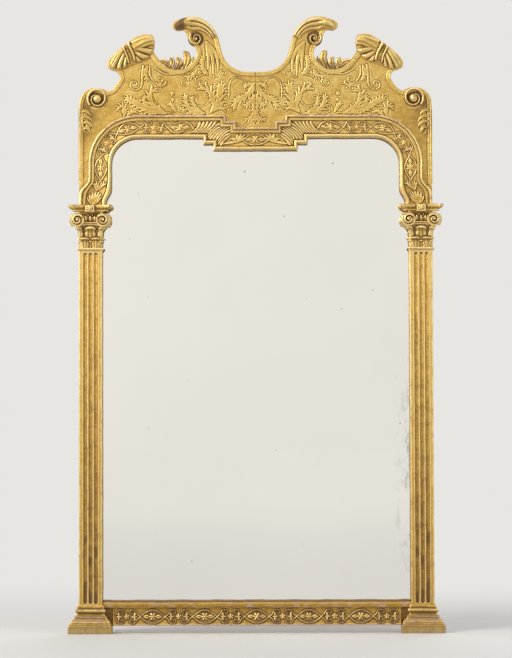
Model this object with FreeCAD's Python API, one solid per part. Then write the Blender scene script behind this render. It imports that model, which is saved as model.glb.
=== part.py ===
import FreeCAD
import Part
import math
import os

# A giltwood pier mirror: a tall plate of mirror glass in a carved and gilded pine frame, with fluted
# pilasters, a stepped arch moulding and a scrolled crest, on a plain pine carcass with a boarded back.
# Millimetres. X runs across the front, +Y runs back to the wall and Z is up. Heights are laid out from
# the underside of the plinths, and the finished pieces are then lowered so that the origin lies on the
# wall plane at the centre of the middle back batten.

Vector = FreeCAD.Vector

# Opening and depths of the layers, from the wall forwards
SIGHT_WIDTH = 768.0  # clear glass between the pilasters
BATTEN_THICKNESS = 12.0
BACKBOARD_THICKNESS = 9.0
BLOCK_THICKNESS = 8.0
PLATE_THICKNESS = 4.0
BOARD_THICKNESS = 15.0  # wood in front of the plate: the stile's lip and the crest board

# Carcass
PILASTER_WIDTH = 58.0
RAIL_LIFT = 18.0  # bottom rail's underside above the underside of the plinths
RAIL_HEIGHT = 62.0
TOP_RAIL_HEIGHT = 60.0
PLATE_COVER = 8.0  # how far the rebate covers the edge of the plate
PLATE_CLEARANCE = 1.0
TENON_LENGTH = 34.0
TENON_THICKNESS = 10.0
TENON_SHOULDER = 10.0
JOINT_CLEARANCE = 0.1
CREST_SETBACK = 6.0  # crest board's edge inside the outer edge of the pilasters
CLEAT_WIDTH = 40.0
CLEAT_HEIGHT = 140.0

# Pilasters, from the floor up
PLINTH_HEIGHT = 20.0
PLINTH_PROJECTION = 26.0  # beyond the shaft, on three sides
BASE_HEIGHT = 50.0
SHAFT_HEIGHT = 880.0
SHAFT_THICKNESS = 13.0
FLUTE_COUNT = 3
FLUTE_WIDTH = 9.0
FLUTE_FILLET = 3.2  # flat left between two flutes
FLUTE_MARGIN = 9.0  # plain shaft above and below the flutes
ASTRAGAL_HEIGHT = 10.0
ASTRAGAL_PROJECTION = 5.0
BELL_HEIGHT = 56.0
BELL_FLARE = 12.0
ECHINUS_HEIGHT = 34.0
ECHINUS_PROJECTION = 8.0
VOLUTE_RADIUS = 14.5
VOLUTE_SPACING = 61.0
VOLUTE_DEPTH = 18.0
ABACUS_HEIGHT = 16.0
ABACUS_PROJECTION = 27.0
ABACUS_HOLLOW = 9.0  # depth of the curved front
ABACUS_HORN = 10.0  # width of each cut-off corner
FLEURON_RADIUS = 8.0
FLEURON_DEPTH = 6.0

# Arch moulding round the head of the plate
ARCH_STILT = 104.0  # from the capitals to the springing
ARCH_RADIUS = 65.0  # at the sight edge
ARCH_INSET = 23.0  # sight edge of the arch inside that of the pilasters
FOOT_OVERHANG = 9.0
FOOT_FLARE = 46.0  # height over which the moulding swings in above the capital
MOULDING_WIDTH = 57.0
FIELD_RISE = 7.0
SIGHT_BEAD_WIDTH = 10.0
SIGHT_BEAD_RISE = 13.0
OUTER_BEAD_WIDTH = 14.0
OUTER_STEP_RISE = 12.0
OUTER_BEAD_RISE = 18.0
STEP_OUTER_HALF = 131.0
STEP_INNER_HALF = 106.0
STEP_DROP = 15.5  # each of the two steps at the centre

# Bottom moulding
SIGHT_FILLET_HEIGHT = 18.0
SIGHT_FILLET_RISE = 10.0
COVE_RISE = 5.0
BOTTOM_LIP_RISE = 13.0
BOTTOM_LIP_HEIGHT = 5.0

# Crest, above the capitals
CREST_HEIGHT = 475.0
CORNER_VOLUTE_RADIUS = 27.0
CORNER_VOLUTE_RISE = 14.0
CORNER_LEAF_RISE = 7.0
CORNER_LEAF_CLEARANCE = 2.0  # from the outer edge of the arch moulding
SCROLL_VOLUTE_RADIUS = 17.0
SCROLL_VOLUTE_RISE = 16.0
SCROLL_LEAF_RISE = 20.0
SPRAY_THICKNESS = 8.0
CAP_RADIUS = 31.0
CAP_SINK = 9.0  # axis of the cap behind the face of the crest board

# Crest shapes as shares of the half width and of the height above the capitals
BAY_SHARES = [(0.0, 0.705), (0.108, 0.720), (0.167, 0.762), (0.193, 0.813), (0.209, 0.876),
              (0.236, 0.933)]
HEAD_SHARES = [(0.236, 0.933), (0.271, 0.968), (0.344, 1.0), (0.424, 0.987), (0.470, 0.956),
               (0.459, 0.932), (0.410, 0.930), (0.390, 0.909)]
ROLL_SHARES = [(0.390, 0.909), (0.374, 0.870), (0.344, 0.842)]
SCOOP_SHARES = [(0.344, 0.842), (0.330, 0.808), (0.344, 0.771), (0.385, 0.731), (0.443, 0.714),
                (0.505, 0.731), (0.557, 0.777), (0.585, 0.813)]
SHOULDER_SHARES = [(0.585, 0.813), (0.580, 0.867), (0.589, 0.899), (0.624, 0.907), (0.693, 0.884),
                   (0.761, 0.838), (0.812, 0.794), (0.839, 0.752), (0.833, 0.728), (0.803, 0.716)]
OUTER_SCOOP_SHARES = [(0.803, 0.716), (0.775, 0.700), (0.768, 0.677), (0.782, 0.648), (0.812, 0.615),
                      (0.846, 0.602)]
CORNER_SHARES = [(0.846, 0.602), (0.878, 0.617), (0.917, 0.623), (0.963, 0.606), (0.991, 0.573),
                 (1.0, 0.531)]
SCROLL_LEAF_SHARES = [(0.240, 0.930), (0.271, 0.966), (0.344, 0.998), (0.424, 0.985), (0.468, 0.955),
                      (0.458, 0.934), (0.408, 0.930), (0.378, 0.924), (0.330, 0.930), (0.280, 0.922)]
CORNER_LEAF_SHARES = [(0.990, 0.506), (0.986, 0.440), (0.955, 0.383), (0.908, 0.400), (0.927, 0.434),
                      (0.917, 0.462), (0.940, 0.485), (0.955, 0.500)]
SPRAY_ROOT_SHARES = [(0.362, 0.700), (0.560, 0.712)]
SPRAY_TIP_SHARES = [(0.413, 0.821), (0.456, 0.790), (0.498, 0.787), (0.545, 0.775)]
SPRAY_VALLEY_SHARES = [(0.376, 0.765), (0.438, 0.762), (0.478, 0.752), (0.520, 0.752), (0.566, 0.752)]
CORNER_VOLUTE_SHARES = (0.911, 0.565)
SCROLL_VOLUTE_SHARES = (0.340, 0.882)
CAP_LOW_SHARES = (0.838, 0.735)
CAP_HIGH_SHARES = (0.588, 0.893)
CLEAT_CENTRE_SHARE = 0.262

# Moulding shapes as shares of the base's height and projection, the bell's size and the foot's flare
BASE_HEIGHT_SHARES = (0.0, 0.14, 0.40, 0.62, 0.80, 1.0)
BASE_WIDTH_SHARES = (0.90, 0.83, 0.42, 0.18)
BELL_MIDDLE_SHARES = (0.30, 0.62)
FOOT_OUTER_SHARES = (0.5, 1.5)

# Back, hangers and fasteners
BACKBOARD_COUNT = 3
BACKBOARD_LAP = 20.0  # onto the carcass
BACKBOARD_GAP = 0.5
BATTEN_HEIGHT = 60.0
BATTEN_INSET = 10.0  # batten's end inside the pilasters' sight edge
BATTEN_END_DISTANCE = 130.0  # outer battens' centres from the ends of the plate
BLOCK_LENGTH = 40.0
BLOCK_WIDTH = 9.0
BLOCKS_PER_SIDE = 4
BLOCKS_PER_END = 3
NAIL_SHANK_RADIUS = 1.2
NAIL_HEAD_RADIUS = 3.2
NAIL_HEAD_THICKNESS = 1.0
NAIL_BITE = 9.0
NAILS_PER_SIDE = 8
NAILS_PER_BOARD_END = 2
SCREW_SHANK_RADIUS = 2.0
SCREW_HEAD_RADIUS = 4.0
SCREW_HEAD_THICKNESS = 2.5
SCREW_HEAD_SINK = 0.3
SCREW_BITE = 7.0
CREST_SCREW_END_DISTANCE = 35.0
HOLE_CLEARANCE = 0.1
HANGER_DROP = 66.0  # hanging ring's pivot below the top of the capitals
STRAP_WIDTH = 14.0
STRAP_LENGTH = 48.0
STRAP_THICKNESS = 2.0
KNUCKLE_RADIUS = 4.0
RING_WIRE_RADIUS = 1.8
RING_CLEARANCE = 0.08
RING_HALF_WIDTH = 11.0  # to the centre of the wire
RING_LEG = 8.0
STRAP_SCREW_DROP = 28.0  # first strap screw below the pivot
STRAP_SCREW_PITCH = 12.0
STRAP_SCREW_RADIUS = 1.5
STRAP_SCREW_HEAD_RADIUS = 3.5
STRAP_SCREW_HEAD_THICKNESS = 2.0
STRAP_SCREW_BITE = 14.0
CUT_OVERRUN = 5.0

# Layers behind the face, with the wall at zero
batten_front = -BATTEN_THICKNESS
carcass_back = batten_front - BACKBOARD_THICKNESS
plate_back = carcass_back - BLOCK_THICKNESS
plate_front = plate_back - PLATE_THICKNESS
face = plate_front - BOARD_THICKNESS
shaft_face = face - SHAFT_THICKNESS

# Places across the front
sight_half = SIGHT_WIDTH / 2
stile_outer = sight_half + PILASTER_WIDTH
pilaster_x = sight_half + PILASTER_WIDTH / 2
plate_half = sight_half + PLATE_COVER
rebate_half = plate_half + PLATE_CLEARANCE
crest_half = stile_outer - CREST_SETBACK
plinth_half = PILASTER_WIDTH / 2 + PLINTH_PROJECTION
rail_end = pilaster_x - plinth_half
arch_half = sight_half - ARCH_INSET
arch_x = arch_half - ARCH_RADIUS
boards_half = rebate_half + BACKBOARD_LAP
strap_x = (boards_half + stile_outer) / 2

# Heights above the underside of the plinths
shaft_low = PLINTH_HEIGHT + BASE_HEIGHT
shaft_high = shaft_low + SHAFT_HEIGHT
bell_low = shaft_high + ASTRAGAL_HEIGHT
bell_high = bell_low + BELL_HEIGHT
abacus_low = bell_high + ECHINUS_HEIGHT
capital_top = abacus_low + ABACUS_HEIGHT
arch_spring = capital_top + ARCH_STILT
sight_top = arch_spring + ARCH_RADIUS
rail_high = RAIL_LIFT + RAIL_HEIGHT
plate_low = rail_high - PLATE_COVER
plate_high = sight_top + PLATE_COVER
top_rail_low = plate_high + PLATE_CLEARANCE
top_rail_high = top_rail_low + TOP_RAIL_HEIGHT
hanger_z = capital_top - HANGER_DROP
lower_batten_z = plate_low + BATTEN_END_DISTANCE
upper_batten_z = plate_high - BATTEN_END_DISTANCE
origin_height = (lower_batten_z + upper_batten_z) / 2


def block(x_low, x_high, y_low, y_high, z_low, z_high):
    """A box between two corners."""
    return Part.makeBox(x_high - x_low, y_high - y_low, z_high - z_low, Vector(x_low, y_low, z_low))


def line(start, end):
    return Part.LineSegment(start, end).toShape()


def arc(start, middle, end):
    return Part.Arc(start, middle, end).toShape()


def smooth(points):
    """One smooth curve through the points."""
    curve = Part.BSplineCurve()
    curve.interpolate(points)
    return curve.toShape()


def swing(start, end):
    """An ogee between two points that leaves and arrives upright."""
    middle = (start.z + end.z) / 2
    curve = Part.BezierCurve()
    curve.setPoles([start, Vector(start.x, start.y, middle), Vector(end.x, end.y, middle), end])
    return curve.toShape()


def chain(points, closed=True):
    """Straight edges from point to point."""
    ends = points[1:] + points[:1] if closed else points[1:]
    return [line(start, end) for start, end in zip(points, ends)]


def prism(edges, depth_vector):
    """A closed outline pushed along a vector."""
    outline = Part.Wire(Part.__sortEdges__(edges))
    return Part.Face(outline).extrude(depth_vector)


def raised(edges, rise):
    """An outline drawn on the face of the carcass, standing forward of it."""
    return prism(edges, Vector(0, -rise, 0))


def mirrored(shape):
    """The left-hand twin of a right-hand piece."""
    return shape.mirror(Vector(0, 0, 0), Vector(1, 0, 0))


def fused(shapes):
    return shapes[0].multiFuse(shapes[1:]).removeSplitter()


def rod(radius, length, start, direction):
    return Part.makeCylinder(radius, length, start, direction)


def crest_point(shares, y=face):
    """A point of the crest from its shares of the half width and the height."""
    return Vector(crest_half * shares[0], y, capital_top + CREST_HEIGHT * shares[1])


def crest_points(table, y=face):
    return [crest_point(shares, y) for shares in table]


# Carcass


def bottom_tenon(clearance):
    """Tenon on the right-hand end of the bottom rail, grown by a clearance."""
    middle = (face + carcass_back) / 2
    return block(sight_half, sight_half + TENON_LENGTH + clearance,
                 middle - TENON_THICKNESS / 2 - clearance, middle + TENON_THICKNESS / 2 + clearance,
                 RAIL_LIFT + TENON_SHOULDER - clearance, plate_low - TENON_SHOULDER + clearance)


def top_lap(clearance):
    """Half lap on the right-hand end of the top rail, against the back of the crest board."""
    middle = (plate_front + carcass_back) / 2
    return block(rebate_half, rebate_half + TENON_LENGTH + clearance, plate_front, middle + clearance,
                 top_rail_low - clearance, top_rail_high)


def stile():
    """Right-hand upright, rebated for the plate, with a thin tongue that runs up behind the crest board."""
    post = block(sight_half, stile_outer, face, carcass_back, 0, capital_top)
    rebate = block(sight_half - CUT_OVERRUN, rebate_half, plate_front, carcass_back + CUT_OVERRUN,
                   plate_low, capital_top + CUT_OVERRUN)
    tongue = block(rebate_half, crest_half, plate_front, carcass_back, capital_top, top_rail_high)
    body = fused([post.cut(rebate), tongue])
    return body.cut(bottom_tenon(JOINT_CLEARANCE)).cut(top_lap(JOINT_CLEARANCE))


def bottom_rail():
    """Lower carcass rail: its rebate carries the plate, and its tenons enter the stiles."""
    bar = block(-sight_half, sight_half, face, carcass_back, RAIL_LIFT, rail_high)
    rebate = block(-sight_half, sight_half, plate_front, carcass_back, plate_low, rail_high)
    tenon = bottom_tenon(0)
    return fused([bar.cut(rebate), tenon, mirrored(tenon)])


def top_rail():
    """Upper carcass rail behind the crest board, half lapped into the tongues of the stiles."""
    bar = block(-rebate_half, rebate_half, plate_front, carcass_back, top_rail_low, top_rail_high)
    lap = top_lap(0)
    return fused([bar, lap, mirrored(lap)])


def crest_cleat():
    """Right-hand cleat behind a neck of the crest, standing on the top rail."""
    centre = crest_half * CLEAT_CENTRE_SHARE
    return block(centre - CLEAT_WIDTH / 2, centre + CLEAT_WIDTH / 2, plate_front, carcass_back,
                 top_rail_high, top_rail_high + CLEAT_HEIGHT)


# Crest


def sight_corners():
    """Right-hand corners of the stepped head of the opening, from the arch to the centre."""
    first = sight_top - STEP_DROP
    second = first - STEP_DROP
    return [(arch_x, sight_top), (STEP_OUTER_HALF, sight_top), (STEP_OUTER_HALF, first),
            (STEP_INNER_HALF, first), (STEP_INNER_HALF, second)]


def foot_inner(inset=0.0):
    """Inner edge of the moulding from the capital up to the springing, with its two ends."""
    low = Vector(sight_half - FOOT_OVERHANG + inset, face, capital_top)
    bend = Vector(arch_half + inset, face, capital_top + FOOT_FLARE)
    spring = Vector(arch_half + inset, face, arch_spring)
    return [swing(low, bend), line(bend, spring)], low, spring


def foot_outer(inset=0.0):
    """Outer edge of the moulding from the capital up to the springing, with its two ends."""
    bend_z, high_z = [capital_top + FOOT_FLARE * share for share in FOOT_OUTER_SHARES]
    x = arch_half + MOULDING_WIDTH - inset
    low = Vector(stile_outer - inset, face, capital_top)
    bend = Vector(stile_outer - inset, face, bend_z)
    high = Vector(x, face, high_z)
    spring = Vector(x, face, arch_spring)
    return [line(low, bend), swing(bend, high), line(high, spring)], low, spring


def arch_point(radius, angle, y):
    return Vector(arch_x + radius * math.cos(angle), y, arch_spring + radius * math.sin(angle))


def crest_edges():
    """Right half of the board's outline, from the bay down to the opening, without the centre bay."""
    stretches = [HEAD_SHARES, ROLL_SHARES, SCOOP_SHARES, SHOULDER_SHARES, OUTER_SCOOP_SHARES, CORNER_SHARES]
    edges = [smooth(crest_points(table)) for table in stretches]
    side = crest_point(CORNER_SHARES[-1])
    step_high = Vector(crest_half, face, capital_top + FOOT_FLARE + CREST_SETBACK)
    step_low = Vector(stile_outer, face, capital_top + FOOT_FLARE)
    outer = Vector(stile_outer, face, capital_top)
    inner = Vector(sight_half - FOOT_OVERHANG, face, capital_top)
    edges += chain([side, step_high, step_low, outer, inner], closed=False)
    edges += foot_inner()[0]
    edges.append(arc(arch_point(ARCH_RADIUS, 0, face), arch_point(ARCH_RADIUS, math.pi / 4, face),
                     arch_point(ARCH_RADIUS, math.pi / 2, face)))
    return edges + chain([Vector(x, face, z) for x, z in sight_corners()], closed=False)


def crest_board():
    """The sawn board of the crest, with the opening for the head of the plate."""
    right = crest_edges()
    left = [mirrored(edge) for edge in right]
    bay_left = [(-x, z) for x, z in reversed(BAY_SHARES[1:])]
    bay = smooth(crest_points(bay_left + BAY_SHARES))
    x, z = sight_corners()[-1]
    sill = line(Vector(-x, face, z), Vector(x, face, z))
    return prism(right + left + [bay, sill], Vector(0, BOARD_THICKNESS, 0))


def corner_volute():
    """Right-hand roll on the outer corner of the crest."""
    return rod(CORNER_VOLUTE_RADIUS, CORNER_VOLUTE_RISE, crest_point(CORNER_VOLUTE_SHARES), Vector(0, -1, 0))


def scroll_volute():
    """Right-hand small roll under the curling head of the crest."""
    roll = rod(SCROLL_VOLUTE_RADIUS, SCROLL_VOLUTE_RISE, crest_point(SCROLL_VOLUTE_SHARES), Vector(0, -1, 0))
    return roll.cut(scroll_leaf())


def closed_curve(table):
    points = crest_points(table)
    return smooth(points + points[:1])


def scroll_leaf():
    """Right-hand leaf that wraps the curling head of the crest."""
    return raised([closed_curve(SCROLL_LEAF_SHARES)], SCROLL_LEAF_RISE)


def corner_leaf():
    """Right-hand leaf below the corner roll, clear of the arch moulding."""
    leaf = raised([closed_curve(CORNER_LEAF_SHARES)], CORNER_LEAF_RISE).cut(corner_volute())
    arch = rod(ARCH_RADIUS + MOULDING_WIDTH + CORNER_LEAF_CLEARANCE, CORNER_LEAF_RISE,
               Vector(arch_x, face, arch_spring), Vector(0, -1, 0))
    return leaf.cut(arch)


def shoulder_cap():
    """Right-hand leaf cap on the shoulder: half of a spindle that lies along the shoulder's slope."""
    low = crest_point(CAP_LOW_SHARES, face + CAP_SINK)
    high = crest_point(CAP_HIGH_SHARES, face + CAP_SINK)
    along = (high - low).normalize()
    across = along.cross(Vector(0, 1, 0))
    crown = (low + high) / 2 + across * CAP_RADIUS
    outline = Part.Face(Part.Wire([arc(low, crown, high), line(high, low)]))
    spindle = outline.revolve(low, along, math.degrees(2 * math.pi))
    ahead = block(0, stile_outer, face - CAP_RADIUS, face, capital_top, capital_top + 2 * CREST_HEIGHT)
    return spindle.common(ahead)


def leaf_spray():
    """Right-hand spray of leaves fixed behind the board and standing up in the scoop."""
    root = crest_points(SPRAY_ROOT_SHARES, plate_front)
    tips = crest_points(SPRAY_TIP_SHARES, plate_front)
    valleys = crest_points(SPRAY_VALLEY_SHARES, plate_front)
    outline = [root[0], valleys[0]]
    for tip, valley in zip(tips, valleys[1:]):
        outline += [tip, valley]
    return prism(chain(outline + [root[1]]), Vector(0, SPRAY_THICKNESS, 0))


# Arch moulding


def moulding_section(place):
    """Section of the arch moulding; place turns (distance from the sight edge, rise) into a point."""
    width = MOULDING_WIDTH
    bead = width - OUTER_BEAD_WIDTH
    fillet = width - OUTER_BEAD_WIDTH / 2
    crown = (fillet + width) / 2
    edges = chain([place(width, OUTER_STEP_RISE), place(width, 0), place(0, 0), place(0, FIELD_RISE)],
                  closed=False)
    edges.append(arc(place(0, FIELD_RISE), place(SIGHT_BEAD_WIDTH / 2, SIGHT_BEAD_RISE),
                     place(SIGHT_BEAD_WIDTH, FIELD_RISE)))
    edges += chain([place(SIGHT_BEAD_WIDTH, FIELD_RISE), place(bead, FIELD_RISE),
                    place(bead, OUTER_STEP_RISE), place(fillet, OUTER_STEP_RISE)], closed=False)
    edges.append(arc(place(fillet, OUTER_STEP_RISE), place(crown, OUTER_BEAD_RISE),
                     place(width, OUTER_STEP_RISE)))
    return Part.Face(Part.Wire(Part.__sortEdges__(edges)))


def foot_band(inner, outer, rise):
    """A strip of the foot between two of its upright edges."""
    edges, low, high = inner
    more, other_low, other_high = outer
    return raised(edges + more + [line(low, other_low), line(high, other_high)], rise)


def arch_foot():
    """Right-hand foot of the arch moulding, swinging out to the width of the capital."""
    field = foot_band(foot_inner(), foot_outer(), FIELD_RISE)
    sight = foot_band(foot_inner(), foot_inner(SIGHT_BEAD_WIDTH), SIGHT_BEAD_RISE)
    outer = foot_band(foot_outer(OUTER_BEAD_WIDTH), foot_outer(), OUTER_BEAD_RISE)
    return fused([field, sight, outer])


def arch_moulding():
    """Right-hand quarter turn of the arch moulding."""
    section = moulding_section(lambda w, rise: Vector(arch_half + w, face - rise, arch_spring))
    centre = Vector(arch_x, face, arch_spring)
    return section.revolve(centre, Vector(0, -1, 0), math.degrees(math.pi / 2))


def mitred_section(x, z):
    """Section of the moulding in the mitre that rises inwards from a right-hand sight corner."""
    return moulding_section(lambda w, rise: Vector(x - w, face - rise, z + w))


def top_moulding():
    """Right-hand level run, from the end of the arch to the first mitre."""
    x, z = sight_corners()[1]
    run = mitred_section(x, z).extrude(Vector(arch_x - x + MOULDING_WIDTH, 0, 0))
    beyond = block(arch_x, arch_x + 2 * MOULDING_WIDTH, face - 2 * OUTER_BEAD_RISE, face,
                   z - CUT_OVERRUN, z + MOULDING_WIDTH + CUT_OVERRUN)
    return run.cut(beyond)


def centre_moulding():
    """The stepped middle of the moulding, mitred at every corner."""
    corners = sight_corners()[1:]
    runs = []
    for (x, z), (next_x, next_z) in zip(corners, corners[1:]):
        runs.append(mitred_section(x, z).extrude(Vector(next_x - x, 0, next_z - z)))
    x, z = corners[-1]
    middle = mitred_section(x, z).extrude(Vector(-x, 0, 0))
    beyond = block(-x - MOULDING_WIDTH, 0, face - 2 * OUTER_BEAD_RISE, face,
                   z - CUT_OVERRUN, z + MOULDING_WIDTH + CUT_OVERRUN)
    half = fused(runs + [middle.cut(beyond)])
    return fused([half, mirrored(half)])


def bottom_moulding():
    """Carved cove on the front of the bottom rail, between the plinths."""
    top = rail_high - SIGHT_FILLET_HEIGHT
    lip = RAIL_LIFT + BOTTOM_LIP_HEIGHT
    low = Vector(-rail_end, face - BOTTOM_LIP_RISE, lip)
    high = Vector(-rail_end, face - COVE_RISE, top)
    hollow = Vector(-rail_end, face - COVE_RISE, (2 * lip + top) / 3)
    edges = chain([high, Vector(-rail_end, face, top), Vector(-rail_end, face, RAIL_LIFT),
                   Vector(-rail_end, face - BOTTOM_LIP_RISE, RAIL_LIFT), low], closed=False)
    curve = Part.BezierCurve()
    curve.setPoles([low, hollow, high])
    return prism(edges + [curve.toShape()], Vector(2 * rail_end, 0, 0))


def sight_fillet():
    """Rounded strip along the bottom of the glass, above the cove."""
    low = rail_high - SIGHT_FILLET_HEIGHT
    side = SIGHT_FILLET_RISE / 2

    def at(rise, z):
        return Vector(-rail_end, face - rise, z)

    edges = chain([at(side, low), at(0, low), at(0, rail_high), at(side, rail_high)], closed=False)
    edges.append(arc(at(side, rail_high), at(SIGHT_FILLET_RISE, (low + rail_high) / 2), at(side, low)))
    return prism(edges, Vector(2 * rail_end, 0, 0))


# Pilasters


def profile_edges(steps, place):
    """Edges of a profile. A step of two numbers is a point (projection, height); one of four is an arc
    through its first pair to its second. The placing function turns a pair into a point."""
    edges = []
    last = place(*steps[0])
    for step in steps[1:]:
        end = place(*step[-2:])
        edges.append(line(last, end) if len(step) == 2 else arc(last, place(*step[:2]), end))
        last = end
    return edges


def wrapped(steps):
    """A moulding that returns round the front and both sides of the pilaster with mitred corners: the
    profile drawn across the front and the same profile seen from the side share the mitred solid."""
    half = PILASTER_WIDTH / 2
    reach = plinth_half + ABACUS_PROJECTION

    def right(projection, z):
        return Vector(pilaster_x + half + projection, face, z)

    def left(projection, z):
        return Vector(pilaster_x - half - projection, face, z)

    def front(projection, z):
        return Vector(pilaster_x - reach, shaft_face - projection, z)

    low, high = steps[0], steps[-1][-2:]
    edges = profile_edges(steps, right) + profile_edges(steps, left)
    edges += [line(right(*low), left(*low)), line(right(*high), left(*high))]
    across = prism(edges, Vector(0, -reach, 0))
    back_low, back_high = [Vector(pilaster_x - reach, face, z) for z in (low[1], high[1])]
    edges = profile_edges(steps, front)
    edges += chain([front(*low), back_low, back_high, front(*high)], closed=False)
    return across.common(prism(edges, Vector(2 * reach, 0, 0)))


def plinth():
    return block(pilaster_x - plinth_half, pilaster_x + plinth_half, shaft_face - PLINTH_PROJECTION, face,
                 0, PLINTH_HEIGHT)


def base_moulding():
    """Ogee, hollow and torus between the plinth and the shaft."""
    levels = [PLINTH_HEIGHT + BASE_HEIGHT * share for share in BASE_HEIGHT_SHARES]
    low, lip, ogee, hollow, torus, top = levels
    wide, edge, waist, neck = [PLINTH_PROJECTION * share for share in BASE_WIDTH_SHARES]
    bulge = neck + (torus - hollow) / 2
    return wrapped([(wide, low), (edge, lip), (waist, ogee), (neck, hollow),
                    (bulge, (hollow + torus) / 2, neck, torus), (neck, top)])


def shaft():
    """Fluted shaft, flat at the back."""
    body = block(sight_half, stile_outer, shaft_face, face, shaft_low, shaft_high)
    radius = FLUTE_WIDTH / 2
    pitch = FLUTE_WIDTH + FLUTE_FILLET
    low = shaft_low + FLUTE_MARGIN + radius
    high = shaft_high - FLUTE_MARGIN - radius
    for index in range(FLUTE_COUNT):
        x = pilaster_x + (index - (FLUTE_COUNT - 1) / 2) * pitch
        groove = rod(radius, high - low, Vector(x, shaft_face, low), Vector(0, 0, 1))
        ends = [Part.makeSphere(radius, Vector(x, shaft_face, z)) for z in (low, high)]
        body = body.cut(groove.multiFuse(ends))
    return body


def astragal():
    """Half-round ring between the shaft and the capital."""
    side = ASTRAGAL_PROJECTION / 2
    middle = (shaft_high + bell_low) / 2
    return wrapped([(side, shaft_high), (ASTRAGAL_PROJECTION, middle, side, bell_low)])


def capital_bell():
    """Flaring bell of the capital with the echinus block above it."""
    flare_share, height_share = BELL_MIDDLE_SHARES
    bell = wrapped([(0, bell_low), (BELL_FLARE * flare_share, bell_low + BELL_HEIGHT * height_share,
                                    BELL_FLARE, bell_high)])
    echinus = block(sight_half, stile_outer, shaft_face - ECHINUS_PROJECTION, face, bell_high, abacus_low)
    return fused([bell, echinus])


def capital_volutes():
    """The two rolled volutes on the front of the capital."""
    z = bell_high + (ECHINUS_HEIGHT - 2 * VOLUTE_RADIUS) / 2 + VOLUTE_RADIUS
    front = shaft_face - ECHINUS_PROJECTION
    rolls = [rod(VOLUTE_RADIUS, VOLUTE_DEPTH, Vector(pilaster_x + side * VOLUTE_SPACING / 2, front, z),
                 Vector(0, -1, 0)) for side in (-1, 1)]
    return Part.makeCompound(rolls)


def abacus():
    """Curved slab on top of the capital, with cut-off horns and a flower at the middle."""
    half = PILASTER_WIDTH / 2 + ABACUS_PROJECTION
    front = shaft_face - ABACUS_PROJECTION
    left, right = pilaster_x - half, pilaster_x + half

    def at(x, y):
        return Vector(x, y, abacus_low)

    left_horn, right_horn = at(left + ABACUS_HORN, front), at(right - ABACUS_HORN, front)
    edges = [arc(left_horn, at(pilaster_x, front + ABACUS_HOLLOW), right_horn)]
    edges += chain([right_horn, at(right, front + ABACUS_HORN), at(right, face), at(left, face),
                    at(left, front + ABACUS_HORN), left_horn], closed=False)
    slab = prism(edges, Vector(0, 0, ABACUS_HEIGHT))
    middle = abacus_low + ABACUS_HEIGHT / 2
    flower = rod(FLEURON_RADIUS, FLEURON_DEPTH + ABACUS_HOLLOW,
                 Vector(pilaster_x, front + 2 * ABACUS_HOLLOW, middle), Vector(0, -1, 0))
    return fused([slab, flower])


# Glass and back


def mirror_plate():
    return block(-plate_half, plate_half, plate_front, plate_back, plate_low, plate_high)


def spread(low, high, count):
    """Places evenly spaced between two ends, half a pitch in from each."""
    pitch = (high - low) / count
    return [low + (index + 0.5) * pitch for index in range(count)]


def plate_blocks():
    """Small pine blocks glued in the rebate behind the plate."""
    blocks = []
    for z in spread(plate_low + BLOCK_LENGTH, capital_top, BLOCKS_PER_SIDE):
        for side in (-1, 1):
            inner, outer = sorted((side * (rebate_half - BLOCK_WIDTH), side * rebate_half))
            blocks.append(block(inner, outer, plate_back, carcass_back,
                                z - BLOCK_LENGTH / 2, z + BLOCK_LENGTH / 2))
    for x in spread(-sight_half, sight_half, BLOCKS_PER_END):
        for z in (plate_low, top_rail_low - BLOCK_WIDTH):
            blocks.append(block(x - BLOCK_LENGTH / 2, x + BLOCK_LENGTH / 2, plate_back, carcass_back,
                                z, z + BLOCK_WIDTH))
    return Part.makeCompound(blocks)


def board_edges():
    """Left and right edge of each backboard."""
    pitch = 2 * boards_half / BACKBOARD_COUNT
    lefts = [-boards_half + index * pitch for index in range(BACKBOARD_COUNT)]
    return [(left + BACKBOARD_GAP / 2, left + pitch - BACKBOARD_GAP / 2) for left in lefts]


def backboards():
    low = plate_low - BACKBOARD_LAP
    high = top_rail_low + BACKBOARD_LAP
    return [block(left, right, carcass_back, batten_front, low, high) for left, right in board_edges()]


def batten(z):
    half = sight_half - BATTEN_INSET
    return block(-half, half, batten_front, 0, z - BATTEN_HEIGHT / 2, z + BATTEN_HEIGHT / 2)


def fastener(x, y, z, head_radius, head_thickness, shank_radius, length, grow=0.0):
    """A nail or screw driven forwards, with the underside of its head at y; grow makes its hole."""
    head = rod(head_radius + grow, head_thickness, Vector(x, y, z), Vector(0, 1, 0))
    shank = rod(shank_radius + grow, length, Vector(x, y, z), Vector(0, -1, 0))
    return fused([head, shank])


def nails(grow=0.0):
    """Nails through the margins of the backboards into the carcass."""
    places = []
    side = rebate_half + BACKBOARD_LAP / 2
    for z in spread(plate_low, top_rail_low, NAILS_PER_SIDE):
        places += [(-side, z), (side, z)]
    for left, right in board_edges():
        for x in spread(left, right, NAILS_PER_BOARD_END):
            places += [(x, plate_low - BACKBOARD_LAP / 2), (x, top_rail_low + BACKBOARD_LAP / 2)]
    return [fastener(x, batten_front, z, NAIL_HEAD_RADIUS, NAIL_HEAD_THICKNESS, NAIL_SHANK_RADIUS,
                     BACKBOARD_THICKNESS + NAIL_BITE, grow) for x, z in places]


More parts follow.
